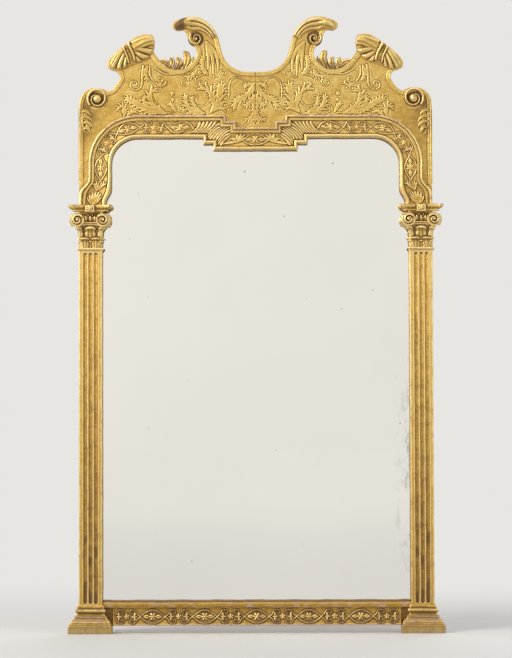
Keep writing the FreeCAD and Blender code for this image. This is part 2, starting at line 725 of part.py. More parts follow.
def batten_screws(grow=0.0):
    """Screws through the battens into the backboards, with their heads let in."""
    seat = -SCREW_HEAD_SINK - SCREW_HEAD_THICKNESS
    depth = SCREW_HEAD_THICKNESS + grow * (SCREW_HEAD_SINK / HOLE_CLEARANCE)
    screws = []
    for z in (lower_batten_z, origin_height, upper_batten_z):
        for left, right in board_edges():
            for x in spread(left + 2 * BATTEN_INSET, right - 2 * BATTEN_INSET, 2):
                screws.append(fastener(x, seat, z, SCREW_HEAD_RADIUS, depth, SCREW_SHANK_RADIUS,
                                       BATTEN_THICKNESS + seat + SCREW_BITE, grow))
    return screws


def crest_screws(grow=0.0):
    """Screws from the back through the tongues and the cleats into the crest board."""
    edge = (boards_half + crest_half) / 2
    cleat = crest_half * CLEAT_CENTRE_SHARE
    low, high = capital_top + CREST_SCREW_END_DISTANCE, top_rail_high - CREST_SCREW_END_DISTANCE
    places = [(edge, low), (edge, (low + high) / 2),
              (cleat, top_rail_high + CREST_SCREW_END_DISTANCE),
              (cleat, top_rail_high + CLEAT_HEIGHT - CREST_SCREW_END_DISTANCE)]
    length = plate_back - plate_front + BLOCK_THICKNESS + SCREW_BITE
    return [fastener(side * x, carcass_back, z, SCREW_HEAD_RADIUS, SCREW_HEAD_THICKNESS, SCREW_SHANK_RADIUS,
                     length, grow) for x, z in places for side in (-1, 1)]


# Hangers


def pivot():
    """Right-hand ring's pivot."""
    return Vector(strap_x, carcass_back + KNUCKLE_RADIUS, hanger_z)


def hanger_strap():
    """Right-hand brass strap with the knuckle that holds the ring."""
    axis = pivot()
    left = strap_x - STRAP_WIDTH / 2
    plate = block(left, left + STRAP_WIDTH, carcass_back, carcass_back + STRAP_THICKNESS,
                  hanger_z - STRAP_LENGTH, hanger_z)
    knuckle = rod(KNUCKLE_RADIUS, STRAP_WIDTH, Vector(left, axis.y, axis.z), Vector(1, 0, 0))
    bore = rod(RING_WIRE_RADIUS + RING_CLEARANCE, STRAP_WIDTH + 2 * CUT_OVERRUN,
               Vector(left - CUT_OVERRUN, axis.y, axis.z), Vector(1, 0, 0))
    strap = fused([plate, knuckle]).cut(bore)
    for screw in strap_screws(HOLE_CLEARANCE):
        strap = strap.cut(screw)
    return strap


def strap_screws(grow=0.0):
    """The two screws of the right-hand strap."""
    return [fastener(strap_x, carcass_back + STRAP_THICKNESS, hanger_z - STRAP_SCREW_DROP - index
                     * STRAP_SCREW_PITCH, STRAP_SCREW_HEAD_RADIUS, STRAP_SCREW_HEAD_THICKNESS,
                     STRAP_SCREW_RADIUS, STRAP_SCREW_BITE, grow) for index in range(2)]


def hanger_ring():
    """Right-hand D ring, hanging down from its knuckle."""
    axis = pivot()
    left, right = [axis + Vector(side * RING_HALF_WIDTH, 0, 0) for side in (-1, 1)]
    drop = Vector(0, 0, -RING_LEG)
    pieces = [rod(RING_WIRE_RADIUS, 2 * RING_HALF_WIDTH, left, Vector(1, 0, 0))]
    for corner in (left, right):
        pieces.append(Part.makeSphere(RING_WIRE_RADIUS, corner))
        pieces.append(rod(RING_WIRE_RADIUS, RING_LEG, corner, Vector(0, 0, -1)))
    section = Part.Face(Part.Wire(Part.makeCircle(RING_WIRE_RADIUS, right + drop, Vector(0, 0, 1))))
    pieces.append(section.revolve(axis + drop, Vector(0, 1, 0), math.degrees(math.pi)))
    return pieces[0].multiFuse(pieces[1:])


def cut_all(shape, tools):
    for tool in tools:
        if shape.BoundBox.intersect(tool.BoundBox):
            shape = shape.cut(tool)
    return shape


def build():
    """Every piece by the name of its node."""
    pieces = {}
    nail_holes = nails(HOLE_CLEARANCE)
    batten_holes = batten_screws(HOLE_CLEARANCE)
    crest_holes = crest_screws(HOLE_CLEARANCE)
    strap_holes = strap_screws(HOLE_CLEARANCE)
    strap_holes += [mirrored(hole) for hole in strap_holes]
    holes = nail_holes + batten_holes + crest_holes + strap_holes
    paired = {"stile": stile(), "crest_cleat": crest_cleat(), "corner_volute": corner_volute(),
              "corner_leaf": corner_leaf(), "scroll_volute": scroll_volute(), "scroll_leaf": scroll_leaf(),
              "shoulder_cap": shoulder_cap(), "leaf_spray": leaf_spray(), "arch_foot": arch_foot(),
              "arch_moulding": arch_moulding(), "top_moulding": top_moulding(), "plinth": plinth(),
              "base_moulding": base_moulding(), "shaft": shaft(), "astragal": astragal(),
              "capital_bell": capital_bell(), "capital_volutes": capital_volutes(), "abacus": abacus(),
              "hanger_strap": hanger_strap(), "hanger_ring": hanger_ring()}
    for name, shape in paired.items():
        pieces["right_" + name] = cut_all(shape, holes) if name in ("stile", "crest_cleat") else shape
        pieces["left_" + name] = mirrored(pieces["right_" + name])
    pieces["bottom_rail"] = cut_all(bottom_rail(), holes)
    pieces["top_rail"] = cut_all(top_rail(), holes)
    pieces["crest_board"] = cut_all(crest_board(), holes)
    pieces["centre_moulding"] = centre_moulding()
    pieces["bottom_moulding"] = bottom_moulding()
    pieces["sight_fillet"] = sight_fillet()
    pieces["mirror_plate"] = mirror_plate()
    pieces["plate_blocks"] = plate_blocks()
    for index, board in enumerate(backboards()):
        pieces["backboard_%d" % (index + 1)] = cut_all(board, holes)
    for name, z in (("lower", lower_batten_z), ("middle", origin_height), ("upper", upper_batten_z)):
        pieces[name + "_batten"] = cut_all(batten(z), holes)
    pieces["backboard_nails"] = Part.makeCompound(nails())
    pieces["batten_screws"] = Part.makeCompound(batten_screws())
    pieces["crest_screws"] = Part.makeCompound(crest_screws())
    screws = strap_screws()
    pieces["hanger_screws"] = Part.makeCompound(screws + [mirrored(screw) for screw in screws])
    return pieces


def main():
    os.makedirs("parts", exist_ok=True)
    for name, shape in build().items():
        shape.translate(Vector(0, 0, -origin_height))
        shape.exportStep("parts/%s.step" % name)
        print("%-24s solids %2d  valid %s  volume %.0f"
              % (name, len(shape.Solids), shape.isValid(), shape.Volume))


main()
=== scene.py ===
import math

import bpy
import numpy as np
from bpy.props import FloatProperty, FloatVectorProperty, PointerProperty
from mathutils import Matrix, Vector


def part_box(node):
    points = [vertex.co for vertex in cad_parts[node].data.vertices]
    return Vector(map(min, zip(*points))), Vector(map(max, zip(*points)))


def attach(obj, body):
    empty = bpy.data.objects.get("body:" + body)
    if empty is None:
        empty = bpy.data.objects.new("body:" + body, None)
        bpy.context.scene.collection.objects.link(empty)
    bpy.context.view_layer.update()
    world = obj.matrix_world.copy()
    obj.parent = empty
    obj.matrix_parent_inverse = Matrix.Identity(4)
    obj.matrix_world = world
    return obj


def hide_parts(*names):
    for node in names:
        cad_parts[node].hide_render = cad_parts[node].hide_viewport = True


bl_info = {
    "name": "Giltwood Pier Mirror",
    "version": (1, 0, 0),
    "blender": (4, 5, 0),
    "location": "View3D > Sidebar > Pier Mirror",
    "description": "Carves, gilds and stages a pier mirror on its joinery",
    "category": "Add Mesh",
}

MM = 1000.0         # millimetres in a metre
TINY = 1e-9         # least length that anything is divided by
WELD = 0.004        # points of a mesh that lie nearer than this, in millimetres, become one
FRONTAL = -0.99     # a sheet whose outward direction along Y is below this faces front

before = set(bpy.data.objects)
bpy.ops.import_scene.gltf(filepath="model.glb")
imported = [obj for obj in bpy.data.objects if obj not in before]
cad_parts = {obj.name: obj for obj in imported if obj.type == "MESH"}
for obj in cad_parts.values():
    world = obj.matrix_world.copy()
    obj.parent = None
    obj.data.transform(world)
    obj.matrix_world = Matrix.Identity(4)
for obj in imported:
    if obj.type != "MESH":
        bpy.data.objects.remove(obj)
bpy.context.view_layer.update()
FLOOR = float(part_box("left_plinth")[0][2])


def extent(node):
    """Lowest and highest corner of a joinery node, in millimetres, with heights above the plinths'
    underside."""
    low, high = [np.array(corner, float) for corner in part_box(node)]
    shift = np.array((0.0, 0.0, FLOOR))
    return (low - shift) * MM, (high - shift) * MM


def levels(node):
    """Heights of the underside and the top of a joinery node, in millimetres."""
    low, high = extent(node)
    return low[2], high[2]


# Levels of the joinery, in millimetres

SHAFT_LOW, SHAFT_HIGH = extent("right_shaft")
FACE = SHAFT_HIGH[1]
HALF_SHAFT = (SHAFT_HIGH[0] - SHAFT_LOW[0]) / 2
PILASTER_X = (SHAFT_HIGH[0] + SHAFT_LOW[0]) / 2
FLUTE_PITCH = 13.2
SHAFT_DEPTH = SHAFT_HIGH[1] - SHAFT_LOW[1]
SHAFT_FRONT = FACE - SHAFT_DEPTH
CAPITAL_TOP = levels("right_abacus")[1]
ARCH_LOW = extent("right_arch_moulding")[0]
CREST_HALF, _, CREST_TOP = extent("crest_board")[1]
ROOM = ((-470, -87.8, 0.1), (470, 0, CREST_TOP - 0.1))

# Set-out of the arch, in millimetres: its section, its sight edge, and its foot and steps

ARCH_WIDTH, SIGHT_HALF, TURN_RADIUS = 57.0, 361.0, 65.0
FOOT_SIGHT, FOOT_OUTER, FOOT_FLARE = 375.0, 442.0, 46.0
STEP_HALVES, STEP_DROP = (131.0, 106.0), 15.5

# Set-out of the ornament, in shares: a leaflet along and away from its rib, and a scroll across and up its panel

LEAFLET = ((0, 0), (0.90, 0.26), (1.48, 0.64), (1.46, 0.98))
C_SCROLL = ((0.95, 0.30), (0.70, 0.92), (0.40, 0.98), (0.26, 0.70), (0.36, 0.50), (0.50, 0.62))


# Sizes and colours that a user would change


class MirrorSizes(bpy.types.PropertyGroup):
    """Sizes of the carving and places of the camera."""
    relief: FloatProperty(name="Crest Relief", description="Height of the gesso ornament on the crest",
                          default=0.0017, min=0.001, max=0.008, unit="LENGTH")
    guilloche: FloatProperty(name="Oval Pitch", description="Length of one oval or panel of the carved bands",
                             default=0.066, min=0.03, max=0.12, unit="LENGTH")
    wobble: FloatProperty(name="Hand Wobble", description="Unevenness left by hand carving and gesso",
                          default=0.0003, min=0.0, max=0.002, unit="LENGTH")
    camera_distance: FloatProperty(name="Camera Distance", description="Camera in front of the wall face",
                                   default=6.5, min=2.0, max=12.0, unit="LENGTH")
    camera_height: FloatProperty(name="Camera Height", description="Camera above the plinths' underside",
                                 default=0.5, min=0.05, max=2.0, unit="LENGTH")
    camera_tilt: FloatProperty(name="Camera Tilt", description="Upward tilt of the camera", subtype="ANGLE",
                               default=math.radians(2.27), min=-0.5, max=0.5)
    camera_roll: FloatProperty(name="Camera Roll", description="Turn of the camera about its axis", subtype="ANGLE",
                               default=math.radians(0.17), min=-0.1, max=0.1)
    camera_lens: FloatProperty(name="Camera Lens", description="Focal length over a frame 24 mm high", default=94.23,
                               min=20.0, max=200.0)


class MirrorColours(bpy.types.PropertyGroup):
    """Colours of the finishes."""
    gold: FloatVectorProperty(name="Gold Leaf", description="Bright burnished leaf", subtype="COLOR",
                              default=(0.788, 0.581, 0.201), min=0, max=1)
    deep_gold: FloatVectorProperty(name="Deep Gold", description="Thin or shaded leaf", subtype="COLOR",
                                   default=(0.550, 0.325, 0.056), min=0, max=1)
    # Bright gold on the high spots stands partly for burnished leaf, partly for a painted highlight.
    bright_gold: FloatVectorProperty(name="Bright Gold", description="Burnished leaf on the high spots",
                                     subtype="COLOR",
                                     default=(0.97, 0.755, 0.36), min=0, max=1)
    bole: FloatVectorProperty(name="Bole", description="Red-brown clay under the leaf", subtype="COLOR",
                              default=(0.33, 0.145, 0.075), min=0, max=1)
    # This grime colour is also painted as shade in the recesses and where the sight edges meet the glass.
    grime: FloatVectorProperty(name="Grime", description="Old dirt in the recesses", subtype="COLOR",
                               default=(0.125, 0.060, 0.014), min=0, max=1)
    gesso: FloatVectorProperty(name="Rubbed Gesso", description="Pale pinkish ground where the leaf is rubbed",
                               subtype="COLOR", default=(0.62, 0.43, 0.27), min=0, max=1)
    silver: FloatVectorProperty(name="Silvering", description="Grey of the old mirror plate", subtype="COLOR",
                                default=(0.915, 0.90, 0.865), min=0, max=1)
    pine: FloatVectorProperty(name="Pine", description="Oxidised bare pine", subtype="COLOR",
                              default=(0.30, 0.165, 0.07), min=0, max=1)
    ochre: FloatVectorProperty(name="Ochre", description="Yellow wash on the back and the sides of the carcass",
                               subtype="COLOR", default=(0.40, 0.25, 0.085), min=0, max=1)
    brass: FloatVectorProperty(name="Brass", description="Dull brass of the hangers", subtype="COLOR",
                               default=(0.46, 0.31, 0.11), min=0, max=1)
    iron: FloatVectorProperty(name="Iron", description="Dark nails and screws", subtype="COLOR",
                              default=(0.035, 0.03, 0.027), min=0, max=1)
    studio: FloatVectorProperty(name="Studio", description="Pale floor and backdrop", subtype="COLOR",
                                default=(0.80, 0.79, 0.765), min=0, max=1)


def sizes():
    """The user's sizes."""
    return bpy.context.scene.pier_mirror_sizes


def colours():
    """The user's colours."""
    return bpy.context.scene.pier_mirror_colours


# Shares, sections and points


def ramp(value, low, high):
    """Share of the way from low to high, held between 0 and 1."""
    return np.clip((value - low) / (high - low), 0, 1)


def hump(share):
    """Half a sine wave over shares from 0 to 1."""
    return np.sin(math.pi * np.clip(share, 0, 1))


def dome(across, power=1.0):
    """Rise of a rounded section at a share of its half width: half an ellipse, raised to a power that fills
    it."""
    return np.sqrt(np.clip(1 - across ** 2, 0, None)) ** power


def eased(share):
    """Share that starts steeply and ends level, as a quarter circle does."""
    return np.sqrt(np.clip(2 * share - share ** 2, 0, 1))


def pack(*parts):
    """Points from their coordinates, spread over one common grid."""
    return np.stack(np.broadcast_arrays(*parts), axis=-1)


def run_length(points):
    """Distance along a line of points to each of them."""
    return np.concatenate([[0], np.cumsum(np.linalg.norm(np.diff(points, axis=0), axis=1))])


def unit(vectors):
    """Vectors brought to a length of one."""
    return vectors / np.maximum(np.linalg.norm(vectors, axis=-1, keepdims=True), TINY)


# Meshes from grids of points


def grid_cells(rows, cols, keep=None):
    """Corner numbers of each cell of a grid of rows by cols points, or of the cells kept."""
    first = np.arange(rows - 1)[:, None] * cols + np.arange(cols - 1)[None, :]
    cells = np.stack([first, first + cols, first + cols + 1, first + 1], axis=-1)
    return cells[keep] if keep is not None else cells.reshape(-1, 4)


def cell_corners(mask):
    """A mask at the four corners of each cell of a grid."""
    return np.stack([mask[:-1, :-1], mask[1:, :-1], mask[1:, 1:], mask[:-1, 1:]])


def outward(points, cells):
    """The cells turned to face out: towards the viewer if the sheet mostly faces one way along Y, and
    otherwise so that the volume they enclose is positive."""
    a, b, c, d = [points[cells[:, k]] for k in range(4)]
    area = np.cross(c - a, d - b)
    forward = area[:, 1].sum()
    middle = (a + b + c + d) / 4
    volume = ((middle - middle.mean(0)) * area).sum()
    total = np.linalg.norm(area, axis=1).sum()
    turned = forward > 0 if abs(forward) > 0.15 * total else volume < 0
    return cells[:, ::-1] if turned else cells


def joined(grids):
    """One mesh from several grids: points that coincide become one, and collapsed cells become triangles."""
    points, cells, count = [], [], 0
    for grid in grids:
        sheet, keep = grid if isinstance(grid, tuple) else (grid, None)
        flat = sheet.reshape(-1, 3)
        cells.append(outward(flat, grid_cells(*sheet.shape[:2], keep)) + count)
        points.append(flat)
        count += len(flat)
    points, cells = np.concatenate(points), np.concatenate(cells)
    used, cells = np.unique(cells, return_inverse=True)
    points, cells = points[used], cells.reshape(-1, 4)
    keys = np.round(points / WELD).astype(np.int64)
    _, first, number = np.unique(keys, axis=0, return_index=True, return_inverse=True)
    points, cells = points[first], number.reshape(-1)[cells]
    real = cells != np.roll(cells, 1, axis=1)
    real &= ~((cells == np.roll(cells, 2, axis=1)) & (np.arange(4) > 1))
    sound = real.sum(1) > 2
    cells, real = cells[sound], real[sound]
    starts = np.concatenate([[0], np.cumsum(real.sum(1))[:-1]])
    return points, cells[real], starts


def crown(points, mesh, cell):
    """How far each point stands above its surroundings, in millimetres. Positions are summed by area in small
    boxes, the sums are blurred twice over three boxes along each axis, and the step from the average position
    there to the point is measured along the normal."""
    count, normal = len(points), np.empty(len(points) * 3, np.float32)
    mesh.vertex_normals.foreach_get("vector", normal)
    area, corners = np.empty(len(mesh.polygons), np.float32), np.empty(len(mesh.polygons), np.int32)
    mesh.polygons.foreach_get("area", area)
    mesh.polygons.foreach_get("loop_total", corners)
    loops = np.empty(len(mesh.loops), np.int32)
    mesh.loops.foreach_get("vertex_index", loops)
    weight = np.bincount(loops, weights=np.repeat(area * 1e6 / corners, corners), minlength=count) + 1e-9
    place = (points - points.min(0)) / cell + 3.5
    shape = tuple(np.ceil(place.max(0) + 4).astype(int))
    box = place.astype(int)
    flat = np.ravel_multi_index(tuple(box.T), shape)
    start = box - (place - box < 0.5)
    share = place - 0.5 - start
    means = []
    for values in [weight] + [weight * points[:, axis] for axis in range(3)]:
        sums = np.bincount(flat, weights=values, minlength=int(np.prod(shape))).reshape(shape)
        for axis in (0, 1, 2) * 2:
            sums = sums + np.roll(sums, 1, axis) + np.roll(sums, -1, axis)
        total = np.zeros(count)
        for i, j, k in np.ndindex(2, 2, 2):
            part = np.prod(np.where((i, j, k), share, 1 - share), axis=1)
            total += part * sums[start[:, 0] + i, start[:, 1] + j, start[:, 2] + k]
        means.append(total)
    centre = np.stack(means[1:], axis=-1) / means[0][:, None]
    return ((points - centre) * normal.reshape(-1, 3)).sum(1)


def wavering(points, amount):
    """Points moved a little by slow waves, as a hand-cut surface is uneven."""
    x, y, z = points.T
    waves = pack(np.sin(0.061 * z + 0.11 * y) + 0.5 * np.sin(0.17 * z + 1.3 + 0.05 * x),
                 np.sin(0.073 * x + 0.058 * z) + 0.5 * np.sin(0.19 * x - 0.13 * z + 0.7),
                 np.sin(0.067 * x + 0.09 * y) + 0.5 * np.sin(0.16 * x + 2.1 + 0.04 * z))
    return points + amount * waves / 1.5


def make_piece(name, grids, finish, nodes=(), sharp=42.0, waver=1.0, bared=None, reach=1.5, lift=0.0):
    """A finished piece from grids in millimetres: joined, smoothed, given its crown attribute and its finish,
    riding on the frame and standing for the joinery nodes that it covers. The losses function gives, from the
    points, the share of the leaf that is worn away there and, below nought, grime and painted shade there; reach
    is the size of the boxes that the crown compares, and lift is taken off it for thin leaves."""
    points, loops, starts = joined(grids)
    worn = bared(np.abs(points[:, 0]), points[:, 1], points[:, 2]) if bared else np.zeros(len(points))
    points = np.clip(wavering(points, sizes().wobble * MM * waver), *ROOM)
    mesh = bpy.data.meshes.new(name)
    mesh.vertices.add(len(points))
    mesh.vertices.foreach_set("co", (points / MM + (0.0, 0.0, FLOOR)).astype(np.float32).ravel())
    mesh.loops.add(len(loops))
    mesh.loops.foreach_set("vertex_index", loops.astype(np.int32))
    mesh.polygons.add(len(starts))
    mesh.polygons.foreach_set("loop_start", starts.astype(np.int32))
    mesh.update(calc_edges=True)
    if mesh.validate():
        raise RuntimeError(name + " has broken faces")
    mesh.shade_smooth()
    mesh.set_sharp_from_angle(angle=math.radians(sharp))
    for title, values in (("crown", crown(points, mesh, reach) - lift), ("bared", worn)):
        attribute = mesh.attributes.new(title, "FLOAT", "POINT")
        attribute.data.foreach_set("value", values.astype(np.float32))
    mesh.materials.append(finish)
    piece = bpy.data.objects.new(name, mesh)
    bpy.context.scene.collection.objects.link(piece)
    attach(piece, "frame")
    if nodes:
        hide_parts(*nodes)


def mirrored(grids):
    """The same grids on the other side of the middle plane."""
    flip = np.array((-1.0, 1.0, 1.0))
    return [(g[0] * flip, g[1]) if isinstance(g, tuple) else g * flip for g in grids]


def both_sides(name, grids, finish, nodes=(), **more):
    """A right-hand piece and its left-hand twin."""
    for side, shape in (("right", grids), ("left", mirrored(grids))):
        make_piece(side + "_" + name, shape, finish, nodes=["%s_%s" % (side, node) for node in nodes], **more)


# Lines and relief


def smooth_line(points, count=48):
    """A smooth line through a few points: a natural cubic spline over the chord length, at even steps."""
    p = np.asarray(points, float)
    t = run_length(p)
    n, h = len(p), np.diff(t)
    matrix, right = np.eye(n), np.zeros_like(p)
    inner, slope = np.arange(1, n - 1), np.diff(p, axis=0) / h[:, None]
    matrix[inner, inner - 1] = h[:-1]
    matrix[inner, inner] = 2 * (h[:-1] + h[1:])
    matrix[inner, inner + 1] = h[1:]
    right[inner] = 6 * np.diff(slope, axis=0)
    bend = np.linalg.solve(matrix, right)
    s = np.linspace(0, t[-1], count)
    k = np.clip(np.searchsorted(t, s, side="right") - 1, 0, n - 2)
    a, b, w = (t[k + 1] - s)[:, None], (s - t[k])[:, None], h[k][:, None]
    return ((bend[k] * a ** 3 + bend[k + 1] * b ** 3) / (6 * w)
            + (p[k] / w - bend[k] * w / 6) * a + (p[k + 1] / w - bend[k + 1] * w / 6) * b)


def along(path, u, v):
    """Distance of each point (u, v) from a path, and the share of the path's length reached beside it."""
    start, step = path[:-1], np.diff(path, axis=0)
    length = np.maximum(np.linalg.norm(step, axis=1), TINY)
    du, dv = u[:, None] - start[:, 0], v[:, None] - start[:, 1]
    t = np.clip((du * step[:, 0] + dv * step[:, 1]) / length ** 2, 0, 1)
    gap = np.hypot(du - t * step[:, 0], dv - t * step[:, 1])
    k, row = gap.argmin(1), np.arange(len(u))
    run = np.concatenate([[0], np.cumsum(length)])
    return gap[row, k], (run[k] + t[row, k] * length[k]) / run[-1]


def spiral(centre, radius, turns, start, hand=1.0, inner=0.18, count=60, fall=0.85):
    """Points of a volute line that winds in to its eye: the radius falls with the angle to the power fall, so
    that a high power keeps the line out at the rim for longer."""
    t = np.linspace(0, 1, count)
    angle = math.radians(start) + hand * 2 * math.pi * turns * t
    r = radius * (1 - (1 - inner) * t ** fall)
    return pack(centre[0] + r * np.cos(angle), centre[1] + r * np.sin(angle))


class Relief:
    """Heights over a grid of (u, v) points; where ornaments meet, the higher wins."""

    def __init__(self, u, v):
        self.u, self.v = np.broadcast_arrays(u, v)
        self.height = np.zeros(self.u.shape)

    def raised(self, value):
        """Raises the ground to a value at every point."""
        self.height = np.maximum(self.height, value)

    def lay(self, path, reach, shape):
        """Raises the ground to shape(distance, share) near a path."""
        low, high = path.min(0) - reach, path.max(0) + reach
        near = ((self.u > low[0]) & (self.u < high[0]) & (self.v > low[1]) & (self.v < high[1]))
        if near.any():
            value = shape(*along(path, self.u[near], self.v[near]))
            self.height[near] = np.maximum(self.height[near], value)

    def strap(self, points, width, height, taper=0.0, smooth=True, hollow=0.0):
        """A rounded band along a line: half an ellipse across, thinning towards its far end, with a shallow
        channel along its middle if hollow is set."""
        def shape(gap, share):
            across = gap / (width / 2 * (1 - taper * share))
            channel = 1 - hollow * np.exp(-(across / 0.35) ** 2)
            return height * (1 - 0.35 * taper * share) * dome(across, 0.8) * channel

        self.lay(smooth_line(points) if smooth else np.asarray(points, float), width, shape)

    def blade(self, points, half, height, groove=0.3):
        """A smooth pointed leaflet along a rib: it swells and closes along the rib, is domed across and is
        creased along the rib."""
        def shape(gap, share):
            across = gap / (half * hump(np.clip(0.10 + 0.90 * share, 0, 1) ** 0.9) ** 0.65 + 1e-6)
            crease = 1 - groove * np.exp(-(across / 0.20) ** 2) * (1 - share)
            return height * dome(across, 0.9) * crease * (0.62 + 0.38 * hump(share + 0.15))

        self.lay(smooth_line(points, 14), half * 1.2, shape)

    def acanthus(self, points, width, height, spacing=0.92):
        """An acanthus plume: long narrow leaflets leave a tapering rib on both sides, run along it and curl
        outwards at their tips, longest before its middle; one more ends the rib."""
        path = smooth_line(points, 60)
        count = max(2, round(run_length(path)[-1] / (spacing * width)))
        for share in (np.arange(count) + 0.05) / (count + 0.5):
            at = int(share * 56)
            ahead = unit(path[at + 3] - path[at])
            across = np.array((-ahead[1], ahead[0]))
            reach = width * (0.45 + 0.75 * hump(0.34 + 0.58 * share))
            for hand in (-1, 1):
                turns = [path[at] + reach * (on * ahead + out * hand * across) for on, out in LEAFLET]
                self.blade(turns, 0.23 * width, height * 0.92, 0.5)
        self.blade([path[30], path[46], path[59] + (path[59] - path[54])], 0.22 * width, height, 0.5)
        self.strap(path, 0.20 * width, height * 1.05, 0.7, False, 0.4)

    def lobe(self, points, half, height, veins=0.0):
        """A thick round-ended fold along a rib: domed across, closing at both ends, with lengthwise veins if
        any are asked for."""
        def shape(gap, share):
            across = gap / half
            vein = np.abs(np.sin(math.pi * veins * across * 0.5)) ** 0.6 * (across < 0.92)
            return height * dome(across, 0.7) * (1 - 0.13 * vein) * (0.80 + 0.20 * hump(0.2 + 0.7 * share))

        self.lay(smooth_line(points, 30), half * 1.1, shape)

    def tongue(self, centre, bottom, top, half, height):
        """An upright leaf with a curled tip: flat-domed with three ribs and lobed sides, swelling into a
        round lip near its top."""
        t = (self.v - bottom) / (top - bottom)
        lobes = 0.80 + 0.20 * np.abs(np.sin(math.pi * (2.6 * t + 0.25)))
        across = (self.u - centre) / (half * lobes * dome(ramp(t, 0.82, 1.0)) + 1e-6)
        ribs = 0.78 + 0.22 * np.abs(np.cos(1.5 * math.pi * across)) ** 0.7
        lip = np.exp(-((t - 0.88) / 0.085) ** 2)
        value = height * dome(across, 0.6) * (0.52 * ribs * np.clip(1.2 - 0.25 * t, 0, 1) + 0.62 * lip)
        self.raised(value * ((t > 0) & (t < 1)))

    def flower(self, centre, radius, height, petals=6, turn=0.0, squeeze=1.0):
        """A flower: petals swell and close round a raised button."""
        du, dv = self.u - centre[0], (self.v - centre[1]) / squeeze
        r = np.hypot(du, dv)
        wave = np.abs(np.cos(petals * (np.arctan2(dv, du) + turn) / 2))
        edge = radius * (0.66 + 0.34 * wave)
        petal = np.clip(1 - (r / edge) ** 4, 0, 1) * (0.50 + 0.50 * wave ** 0.7)
        self.raised(height * np.maximum(0.8 * petal * (r < edge), 1.05 * dome(r / (0.30 * radius))))

    def egg(self, centre, half_width, half_height, height):
        """An upright oval dome."""
        r = np.hypot((self.u - centre[0]) / half_width, (self.v - centre[1]) / half_height)
        self.raised(height * dome(r, 0.8))

    def oval(self, centre, half, swing, height, band=3.4):
        """A pointed oval of two bowed bands that cross at its ends and run on into small hooks, with a flower
        between leaflets inside it."""
        u, v = centre
        w = np.linspace(-1.16, 1.16, 15)
        for side in (1, -1):
            self.strap(pack(u + half * w, v + side * swing * np.cos(math.pi / 2 * w)), band, height, hollow=0.35)
            self.blade([(u + side * half * s, v) for s in (0.30, 0.52, 0.80)], swing * 0.34, height * 0.8, 0.5)
        self.flower(centre, swing * 0.70, height * 1.05, squeeze=0.95)

    def panel(self, centre, half, swing, height):
        """A small flower between two pairs of C-scrolls with leaflets at their backs."""
        def placed(shares, side, up):
            return np.array(shares) * (side * half, up * swing) + centre

        self.flower(centre, swing * 0.52, height, 5, math.pi / 4)
        for side in (1, -1):
            self.blade(placed([(0.42, 0), (0.65, 0), (0.92, 0)], side, 1), swing * 0.16, height * 0.8)
            for up in (1, -1):
                self.strap(placed(C_SCROLL, side, up), 2.8, height * 0.9, 0.3)
                self.blade(placed([(0.62, 0.10), (0.72, 0.40), (0.62, 0.66)], side, up), swing * 0.16, height * 0.8)

    def band(self, start, end, middle, swing, pitch, height, first=0):
        """Pointed ovals and scrolled panels by turns along a carved band; first is 1 where a panel begins
        it."""
        count = max(1, 2 * round((end - start) / pitch / 2) + 1)
        pitch = (end - start) / count
        for k in range(count):
            centre = (start + (k + 0.5) * pitch, middle)
            if k % 2 == first:
                self.oval(centre, pitch * 0.47, swing, height)
            else:
                self.panel(centre, pitch * 0.44, swing, height)


def wrapped_path(half, depth, projection, corner, side_steps=10, front_steps=60):
    """Plan of a moulding that runs along one side, the front and the other side of a pilaster, for each given
    projection, with corners slightly rounded. Returns x, y and the outward direction in plan."""
    q, e, f = np.linspace(0, 1, side_steps), np.linspace(0, math.pi / 2, 6), np.linspace(-1, 1, front_steps)
    one, arc, none = np.ones(side_steps), np.ones(len(e)), np.zeros(front_steps)
    across = np.concatenate([-one, -arc, f, arc, one])
    ahead = np.concatenate([q, arc, none + 1, arc, q[::-1]])
    out_x = np.concatenate([-one, -np.cos(e), none, np.sin(e), one])
    out_y = np.concatenate([0 * one, np.sin(e), none + 1, np.cos(e), 0 * one])
    p = np.asarray(projection, float).reshape(-1, 1)
    x = across * (half + p - corner) + out_x * corner
    y = -(ahead * (depth + p - corner) + out_y * corner)
    return x, FACE + y, out_x, -out_y


def wrapped(profile, corner):
    """A profile of (projection, height) rows carried round the front and sides of the right-hand pilaster and
    closed at its top and bottom."""
    x, y, _, _ = wrapped_path(HALF_SHAFT, SHAFT_DEPTH, profile[:, 0], corner)
    return capped(pack(PILASTER_X + x, y, profile[:, 1:]))


def capped(body):
    """A sheet round the pilaster, with a level sheet from its first row and its last row to a point on the
    carcass."""
    centre = np.array((PILASTER_X, FACE, 0.0))
    return [body] + [np.stack([row, centre + (0, 0, row[0, 2]) + 0 * row]) for row in (body[0], body[-1])]


def backed(body):
    """A wrapped sheet with a flat sheet across its open back."""
    return [body, np.stack([body[:, -1], body[:, 0]])]


def returned(body):
    """A long moulding whose two ends run back to the carcass."""
    return [body] + [np.stack([row, row * (1, 0, 1) + (0, FACE, 0)]) for row in (body[0], body[-1])]


def walled(face, seat):
    """A sheet with a wall from its whole edge back to the depth of its seat."""
    loop = np.concatenate([face[0, :], face[1:, -1], face[-1, -2::-1], face[-2::-1, 0]])
    return [face, np.stack([loop, loop * (1, 0, 1) + (0, seat, 0)])]


def profile_of(*parts):
    """Rows of a section from single rows and from runs of rows."""
    return np.concatenate([np.asarray(part, float).reshape(-1, 2) for part in parts])


def half_round(across, level, radius, count):
    """Rows of a half-round moulding, from its underside to its top."""
    angle = np.linspace(-math.pi / 2, math.pi / 2, count)
    return pack(across + radius * np.cos(angle), level + radius * np.sin(angle))


